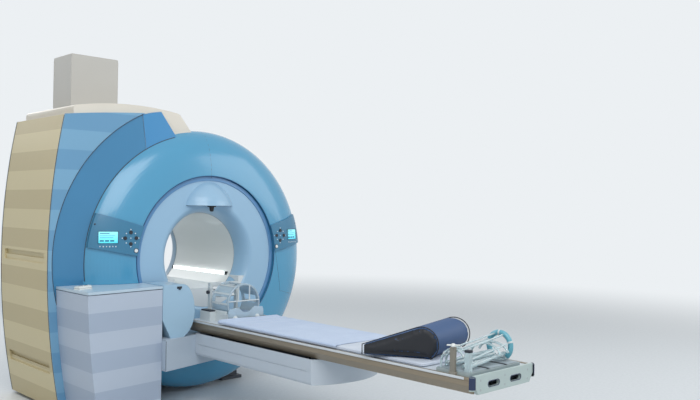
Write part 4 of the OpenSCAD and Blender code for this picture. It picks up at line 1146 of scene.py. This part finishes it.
mixed = spread(weave, reckon(weave, "MULTIPLY_ADD", level, 0.4, slub), 0.35, 1.0)
threads = {"Strength": 0.5, "Distance": given["Depth"], "Height": level}
threads = wire(weave, "ShaderNodeBump", threads)
folds = speckle(weave, where, 16.0, Detail=3, Distortion=0.8)
creased = {"Strength": 0.6, "Distance": given["Creases"], "Height": folds, "Normal": threads}
wire(weave, "NodeGroupOutput", {
    "Color": blend(weave, mixed, given["Thread Color"], given["Color"]),
    "Roughness": reckon(weave, "MULTIPLY_ADD", mixed, -0.1, given["Roughness"]),
    "Normal": wire(weave, "ShaderNodeBump", creased),
})


def cloth(
    name, color, thread, threads_per_m=2800, depth=0.0002, creases=0.001, roughness=0.8,
    sheen=0.3,
):
    """Material of a woven or coated cloth."""
    values = {
        "Color": color, "Thread Color": thread, "Threads": threads_per_m, "Depth": depth,
        "Creases": creases, "Roughness": roughness,
    }
    return skin(name, weave, values, {"Sheen Weight": sheen})


def blown_up(made, mesh, pressure, cap):
    """Lets a filling press a cover outwards in a cloth simulation, by a capped way."""
    start = [v.co.copy() for v in mesh.vertices]
    cover = made.modifiers.new("skin", "CLOTH")
    cover.settings.use_pressure = True
    cover.settings.uniform_pressure_force = pressure
    cover.settings.quality = 5
    cover.settings.tension_stiffness = 20
    cover.settings.compression_stiffness = 20
    cover.settings.bending_stiffness = 0.6
    cover.settings.effector_weights.gravity = 0
    cover.collision_settings.use_collision = False
    for step in range(1, 19):
        bpy.context.scene.frame_set(step)
    blown = made.evaluated_get(bpy.context.evaluated_depsgraph_get()).data
    moved = [v.co.copy() for v in blown.vertices]
    made.modifiers.clear()
    bpy.context.scene.frame_set(1)
    for vertex, before, after in zip(mesh.vertices, start, moved):
        shift = after - before
        if shift.length > cap:
            shift *= cap / shift.length
        vertex.co = before + shift


def stuffed(
    name, mesh, material, body, replaced,
    voxel=0.006, pressure=4.0, cap=0.008, floor_z=None,
):
    """A padded piece: the sewn shape is remeshed, blown up and pressed on what it lies on."""
    made = stand(name, mesh)
    remesh = made.modifiers.new("remesh", "REMESH")
    remesh.mode = "VOXEL"
    remesh.voxel_size = voxel
    mesh = baked(made)
    made.modifiers.clear()
    made.data = mesh
    blown_up(made, mesh, pressure, cap)
    if floor_z is not None:
        for vertex in mesh.vertices:
            vertex.co.z = max(vertex.co.z, floor_z)
    mesh.name = name
    mesh.shade_smooth()
    mesh.materials.clear()
    mesh.materials.append(material)
    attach(made, body)
    if replaced:
        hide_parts(*replaced)
    return made


def sewn(outline, low, high, place):
    """A closed prism of an outline (x, y), for a cover before it is stuffed."""
    work = bmesh.new()
    rows = [[work.verts.new(place @ Vector((x, y, z))) for x, y in outline] for z in (low, high)]
    work.faces.new(rows[0][::-1])
    work.faces.new(rows[1])
    for i in range(len(outline)):
        j = (i + 1) % len(outline)
        work.faces.new((rows[0][i], rows[0][j], rows[1][j], rows[1][i]))
    bmesh.ops.recalc_face_normals(work, faces=work.faces)
    mesh = bpy.data.meshes.new("sewn")
    work.to_mesh(mesh)
    work.free()
    return mesh


coated_white = cloth(
    "coated_white", paint(206, 214, 226), paint(192, 202, 216), 3600, 0.00005, 0.0012, 0.5, 0.1
)
slab = sewn(soft_corners(-0.257, -3.047, 0.257, -1.135, 0.03), 0.6215, 0.6405, Matrix())
stuffed(
    "mattress_pad", slab, coated_white, "tabletop", ["mattress"],
    voxel=0.009, pressure=2.0, cap=0.004, floor_z=0.6212,
)
piping = [(x, y, 0.631) for x, y in soft_corners(-0.2612, -3.0512, 0.2612, -1.1308, 0.031)]
bead("mattress_piping", [piping], 0.0024, coated_white, "tabletop", closed=True)

# ---------------------------------------------------------------------------
# Sheet: a pale blue cotton draw sheet laid over the head half of the mattress. It is
# hemmed, hangs a little over both edges and is pushed into soft folds by the head coil.
sheet_blue = cloth(
    "sheet_cotton", paint(196, 212, 236), paint(178, 196, 224), 2200, 0.0002, 0.002, 0.85, 0.35
)
sheet_w, sheet_l, sheet_head_y, sheet_z = 0.548, 1.260, -1.122, 0.6465
shortened = 0.985
mattress_half, hang_x = 0.256, 0.2585
cols, rows = 44, 100


def crease(x, y, seed):
    """How high smooth noise lifts the sheet at a place, or nothing where it dips."""
    return max(0.0, ripple.noise(Vector((x, y, seed))))


points, faces = [], []
for j in range(rows + 1):
    for i in range(cols + 1):
        x = sheet_w * (i / cols - 0.5)
        y = sheet_head_y - sheet_l * shortened * j / rows
        near = math.exp(-j / 16)
        wave = math.sin(60 * y + 5 * x + 2.2 * ripple.noise(Vector((3 * x, 4 * y, 0))))
        wrinkle = 0.010 * near * (0.5 + 0.5 * wave)
        wrinkle += 0.0022 * crease(5 * x, 9 * y, 1.7)
        wrinkle += 0.004 * crease(2.0 * x + 5, 14 * y, 0.4) * near
        over = max(0.0, abs(x) - mattress_half)
        z = sheet_z + wrinkle
        if over:
            x = math.copysign(hang_x + min(over, 0.004), x)
            z = sheet_z - max(0.0, over - 0.003)
        points.append((x, y, z))
        if i < cols and j < rows:
            a = j * (cols + 1) + i
            faces.append((a, a + 1, a + cols + 2, a + cols + 1))
draw_sheet = piece("draw_sheet", points, faces, sheet_blue, "tabletop", smooth=True)
if draw_sheet.data.polygons[len(faces) // 2].normal.z < 0:
    draw_sheet.data.flip_normals()
thick = draw_sheet.modifiers.new("thick", "SOLIDIFY")
thick.thickness = 0.0006
thick.offset = 0

# ---------------------------------------------------------------------------
# Knee wedge: a block of firm foam that rises toward the foot end under the patient's
# knees. Its top is navy vinyl and its sides are black, joined with stitched piping.
knee_l, knee_w, knee_r, knee_c, knee_h = 0.442, 0.480, 0.095, 0.083, 0.060
knee_at = Vector((-0.340, -2.662, 0.645))
knee_along, knee_across = math.radians(-63), math.radians(16)
run_way = Vector((math.cos(knee_along), math.sin(knee_along), 0))
cross_way = Vector((math.cos(knee_across), math.sin(knee_across), 0))


def knee_outline(out=0.0, first=109, last=-58, count=11):
    """The wedge seen from its side: a low end, a slope and a round back, out from its skin."""
    return arc(knee_r + out, steps(first, last, count), knee_l - knee_r, knee_c)


def on_knee(u, w, v):
    """The point of the wedge at u along its side, w across it and v above what it lies on."""
    return knee_at + run_way * u + cross_way * w + Vector((0, 0, v))


side_view = [(0.004, 0.003), (0.004, knee_h - 0.002)] + knee_outline(-0.003)
upright = Matrix((
    (run_way.x, 0, cross_way.x, knee_at.x),
    (run_way.y, 0, cross_way.y, knee_at.y),
    (0, 1, 0, knee_at.z),
    (0, 0, 0, 1),
))
navy_vinyl = moulded("navy_vinyl", paint(36, 74, 120), 0.55, 0.16, 0.0006, 0.2, edge=0.002)
black_vinyl = moulded("black_vinyl", paint(26, 29, 36), 0.55, 0.15, 0.0006, 0.2, edge=0.002)
wedge = sewn(side_view, 0.004, knee_w - 0.004, upright)
knee_pad = stuffed(
    "knee_pad", wedge, navy_vinyl, "tabletop", ["knee_wedge"],
    voxel=0.006, pressure=3.0, cap=0.006, floor_z=0.6455,
)
knee_pad.data.materials.append(black_vinyl)
side_way = Vector((run_way.y, -run_way.x, 0))
for polygon in knee_pad.data.polygons:
    if abs(polygon.normal.dot(side_way)) > 0.72:
        polygon.material_index = 1
rim_view = [(0.0, 0.0), (0.0, knee_h)] + knee_outline(0.001, count=20)
welt_ws = (0.0035, knee_w - 0.0035)
welts = [[on_knee(u, w, max(v, 0.003)) for u, v in rim_view] for w in welt_ws]
bead("knee_pad_piping", welts, 0.0032, black_vinyl, "tabletop")

# Stitches beside the piping: short raised threads at even steps along a path.
stitch_plan, given = plan(
    "stitch_row",
    [
        ("Pitch", "Float", 0.008),
        ("Length", "Float", 0.005),
        ("Radius", "Float", 0.0006),
        ("Material", "Material", None),
    ],
)
line = wire(stitch_plan, "GeometryNodeMeshToCurve", {0: given["Geometry"]})
marks = {"Curve": line, "Length": given["Pitch"]}
marks = wire(stitch_plan, "GeometryNodeCurveToPoints", marks, mode="LENGTH").outputs
thread = {"Vertices": 6, "Radius": given["Radius"], "Depth": given["Length"]}
thread = wire(stitch_plan, "GeometryNodeMeshCylinder", thread)
laid = {"Points": marks["Points"], "Instance": thread, "Rotation": marks["Rotation"]}
kept(stitch_plan, given, wire(stitch_plan, "GeometryNodeInstanceOnPoints", laid))
stitch_view = [(0.010, knee_h + 0.0030)] + knee_outline(0.001, last=10)
stitch_ws = (0.012, knee_w - 0.012)
stitches = [[on_knee(u, w, v + 0.0015) for u, v in stitch_view] for w in stitch_ws]
navy_thread = {"Material": moulded("navy_thread", paint(58, 88, 138), 0.7)}
grow("knee_pad_stitches", chained(stitches), stitch_plan, navy_thread, "tabletop")

# ---------------------------------------------------------------------------
# Head coil: a pale clear arch of moulded plastic over the patient's head, stiffened by
# white rungs, on a padded base. A frame at its head end carries the tilting mirror, and a
# side clamp on each side locks it to the tabletop.


def clear(name, color, roughness=0.12, through=0.55):
    """Material of a clear or milky moulded plastic."""
    values = {
        "Color": color, "Worn Color": (0.9, 0.95, 0.96, 1), "Mottle": 0.06,
        "Grain Depth": 0.00003, "Wear": 0.25, "Edge": 0.002, "Roughness": roughness,
    }
    surface = {"Transmission Weight": through, "IOR": 1.45, "Coat Weight": 0.3}
    return skin(name, shell, values, surface)


milky = clear("helmet_milky", paint(206, 226, 238), 0.16, 0.45)
coil_white = moulded("coil_white", paint(206, 214, 216), 0.36, 0.06, wear=0.25, coat=0.2)
dress(coil_white, "head_coil")
dress(milky, "coil_helmet")
mirror_glass = metal("mirror_glass", paint(226, 230, 232), 0.05, (1, 1, 1), 0.05, 1.0)
dress(mirror_glass, "coil_mirror")

helmet_y, helmet_z, helmet_r, helmet_half = -0.971, 0.752, 0.142, 0.101
rung_plan, given = plan(
    "rungs_round_arch",
    [
        ("Count", "Int", 8),
        ("Radius", "Float", 0.14),
        ("Sweep", "Float", math.pi),
        ("Size", "Vector", (0.02, 0.2, 0.006)),
        ("Material", "Material", None),
    ],
)
arch = {
    "Resolution": given["Count"], "Radius": given["Radius"], "Sweep Angle": given["Sweep"],
}
arch = wire(rung_plan, "GeometryNodeCurveArc", arch, mode="RADIUS")
raised_arch = {"Geometry": arch, "Rotation": (math.pi / 2, 0, 0)}
raised_arch = wire(rung_plan, "GeometryNodeTransform", raised_arch)
spots = wire(rung_plan, "GeometryNodeCurveToPoints", {"Curve": raised_arch}, mode="EVALUATED")
turn = {"Vector": wire(rung_plan, "GeometryNodeInputPosition")}
turn = wire(rung_plan, "FunctionNodeAlignEulerToVector", turn, axis="Z", pivot_axis="Y")
rung = wire(rung_plan, "GeometryNodeMeshCube", {"Size": given["Size"]})
laid = {"Points": spots, "Instance": rung, "Rotation": turn}
kept(rung_plan, given, wire(rung_plan, "GeometryNodeInstanceOnPoints", laid))
rungs = grow(
    "helmet_rungs", ([(0, 0, 0)], [], []), rung_plan,
    {
        "Count": 7, "Radius": helmet_r + 0.0012, "Sweep": math.pi, "Size": (0.014, 0.196, 0.004),
        "Material": coil_white,
    },
    "tabletop", smooth=False,
)
rungs.data.transform(Matrix.Translation((0, helmet_y, helmet_z)))
hoop_view = arc(helmet_r, range(-28, 209, 4), 0.0, helmet_z)
hoop_ys = (helmet_y - helmet_half, helmet_y + helmet_half)
bands = [[(x, y, z) for x, z in hoop_view] for y in hoop_ys]
bead("helmet_end_hoops", bands, 0.006, milky, "tabletop", sides=12)
bar_y, bar_z, bar_top_z = helmet_y - 0.104, helmet_z + 0.018, helmet_z + 0.131
bars = [[(sign * (helmet_r - 0.004), bar_y, bar_z) for sign in (-1, 1)]]
bars += [[(x, bar_y, z) for z in (bar_z, bar_top_z)] for x in (-0.05, 0.05)]
bead("helmet_cross_bars", bars, 0.005, coil_white, "tabletop", sides=12)
socket_profile = [
    (0.0001, -0.004), (0.017, -0.004), (0.018, 0.000), (0.018, 0.010), (0.014, 0.014),
    (0.012, 0.022), (0.0001, 0.022),
]
across_table = Matrix.Rotation(math.pi / 2, 4, "X")
for side, sign in both_sides:
    for part, x, half, back_y, front_y, low_z, high_z, material, slot in (
        ("coil_clamp", 0.190, 0.024, -0.949, -0.829, 0.690, 0.702, dark_key, "dark_plastic"),
        ("coil_hinge", 0.150, 0.009, -1.070, -0.872, 0.676, 0.700, coil_white, "clear"),
        ("mirror_pad", 0.120, 0.012, -0.824, -0.788, 0.836, 0.862, coil_white, "clear"),
    ):
        low = (sign * x - half, back_y, low_z)
        high = (sign * x + half, front_y, high_z)
        block(f"{side}_{part}", low, high, material, "tabletop", 0.004)
    socket_place = Matrix.Translation((sign * 0.10, -1.1015, 0.652)) @ across_table
    socket_name = f"{side}_coil_socket"
    turned(socket_name, socket_profile, socket_place, coil_white, "tabletop", 32)
neck_cut = arc(0.072, range(215, 326, 10), 0.0, 0.762)
neck_shape = [(-0.160, 0.648), (0.160, 0.648), (0.160, 0.700), (0.150, 0.722), (0.074, 0.728)]
neck_shape += neck_cut[::-1] + [(-0.074, 0.728), (-0.150, 0.722), (-0.160, 0.700)]
raised("coil_neck_plate", [neck_shape], across_table, 1.1015, 1.1065, milky, "tabletop", "clear")
pivot_y, pivot_z = -0.806, 0.819
knob = Matrix.Translation((-0.1385, pivot_y, pivot_z)) @ Matrix.Rotation(math.pi / 2, 4, "Y")
knob_profile = [
    (0.0001, -0.0115), (0.010, -0.0115), (0.0135, -0.009), (0.0140, 0.000), (0.0135, 0.007),
    (0.011, 0.0085), (0.0001, 0.0085),
]
turned("mirror_knob", knob_profile, knob, dark_key, "mirror", 24)
tilted = Matrix.Translation((0, pivot_y, pivot_z)) @ Matrix.Rotation(math.radians(42), 4, "X")
frame_run = [tilted @ Vector((x, y, 0.0)) for x, y in oblong(-0.0795, -0.0515, 0.0795, 0.0515)]
bead("mirror_frame", [frame_run], 0.004, coil_white, "mirror", closed=True)
cushion_blue = cloth(
    "head_cushion_blue", paint(140, 164, 190), paint(122, 148, 176), 2400, 0.0002, 0.0012, 0.75
)
cushion_outline = [
    (-0.086, 0.0), (-0.062, -0.018), (-0.030, -0.029), (0.0, -0.033), (0.030, -0.029),
    (0.062, -0.018), (0.086, 0.0), (0.092, 0.014), (0.060, 0.0), (0.030, -0.010), (0.0, -0.014),
    (-0.030, -0.010), (-0.060, 0.0), (-0.092, 0.014),
]
mirrored = Matrix.Scale(-1, 4, (0, 0, 1))
cushion_place = Matrix.Translation((0, -1.062, 0.676)) @ across_table @ mirrored
stuffed(
    "head_cushion", sewn(cushion_outline, 0.0, 0.170, cushion_place), cushion_blue, "tabletop",
    [], voxel=0.004, pressure=3.0, cap=0.005,
)

# ---------------------------------------------------------------------------
# Foot coil: a cradle of clear bent tube and rods that lies across the foot end. A thick
# teal ring stands at its far end, and its base plate rests on the tabletop.
tube_clear = clear("cradle_clear", paint(214, 232, 236), 0.1, 0.5)
dress(tube_clear, "foot_coil")
teal_ring = moulded("cradle_teal", paint(96, 168, 186), 0.3, 0.1, wear=0.2, coat=0.4)
cradle_y, cradle_z = -3.260, 0.645
ring_x, ring_loop_r, hoop_loop_r = 0.150, 0.072, 0.0854
ring_middle_z = cradle_z + 0.122 / 2 + 0.011 + 0.013 - 0.004


def loop_at(x, radius, turns, z):
    """Points of an upright arc over the cradle's middle, at x along it."""
    return [(x, y, height) for y, height in arc(radius, turns, cradle_y, z)]


sleeve = loop_at(ring_x, ring_loop_r, range(-62, 243, 5), ring_middle_z)
bead("cradle_ring_sleeve", [sleeve], 0.0155, teal_ring, "tabletop", sides=16)
collars = [
    loop_at(ring_x, ring_loop_r, (turn - 4, turn, turn + 4), ring_middle_z)
    for turn in (-52, 20, 90, 160, 232)
]
bead("cradle_ring_collars", collars, 0.0172, coil_white, "tabletop", sides=16)
clips = [
    loop_at(x, hoop_loop_r, (turn - 4, turn, turn + 4), cradle_z + 0.022)
    for turn in (42, 138) for x in (-0.258, -0.218)
]
bead("cradle_hoop_clips", clips, 0.0078, coil_white, "tabletop", sides=12)
tubes = [
    [
        (-0.232, cradle_y + dy, 0.6650), (-0.10, cradle_y + dy, 0.6680 + rise),
        (0.132, cradle_y + 0.6 * dy, 0.6730 + 2 * rise),
    ]
    for dy, rise in ((-0.072, 0.010), (-0.036, 0.002), (0.036, 0.002), (0.072, 0.010))
]
bead("cradle_side_tubes", tubes, 0.0105, tube_clear, "tabletop", sides=16)
flatter = 0.062 / 0.098
saddle_view = [(y, 0.690 + flatter * z) for y, z in arc(0.098, range(12, 169, 6), cradle_y)]
saddle = [[(x, y, z) for y, z in saddle_view] for x in (0.020, 0.092)]
bead("cradle_saddle_hoops", saddle, 0.0065, tube_clear, "tabletop", sides=12)
pad_grey = cloth("base_pad_grey", paint(150, 164, 172), paint(134, 150, 158))
for name, low, high, material, slot, bevel in (
    (
        "cradle_base_pad", (-0.262, cradle_y - 0.100, 0.6445), (0.180, cradle_y + 0.100, 0.6475),
        pad_grey, "clear", 0.0012,
    ),
    (
        "cradle_post_cap", (-0.2695, cradle_y - 0.1075, 0.746), (-0.2385, cradle_y - 0.0745, 0.760),
        dark_key, "dark_plastic", 0.003,
    ),
):
    block(name, low, high, material, "tabletop", bevel)
strap_half = [(0.107, 0.640), (0.106, 0.6465), (0.098, 0.6484)]
strap_view = [(-y, z) for y, z in strap_half] + strap_half[::-1]
for i, x in enumerate((-0.10, 0.06)):
    strap = [(x, cradle_y + y, z) for y, z in strap_view]
    strap_name = f"cradle_strap_{i + 1}"
    bead(strap_name, [strap], 0.011, dark_key, "tabletop", flatten=0.12)

lines = []
for label, (low, high) in (("solids", solid_box), ("dressed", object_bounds())):
    lines.append(f'"{label}": [{[round(v, 4) for v in low]}, {[round(v, 4) for v in high]}]')
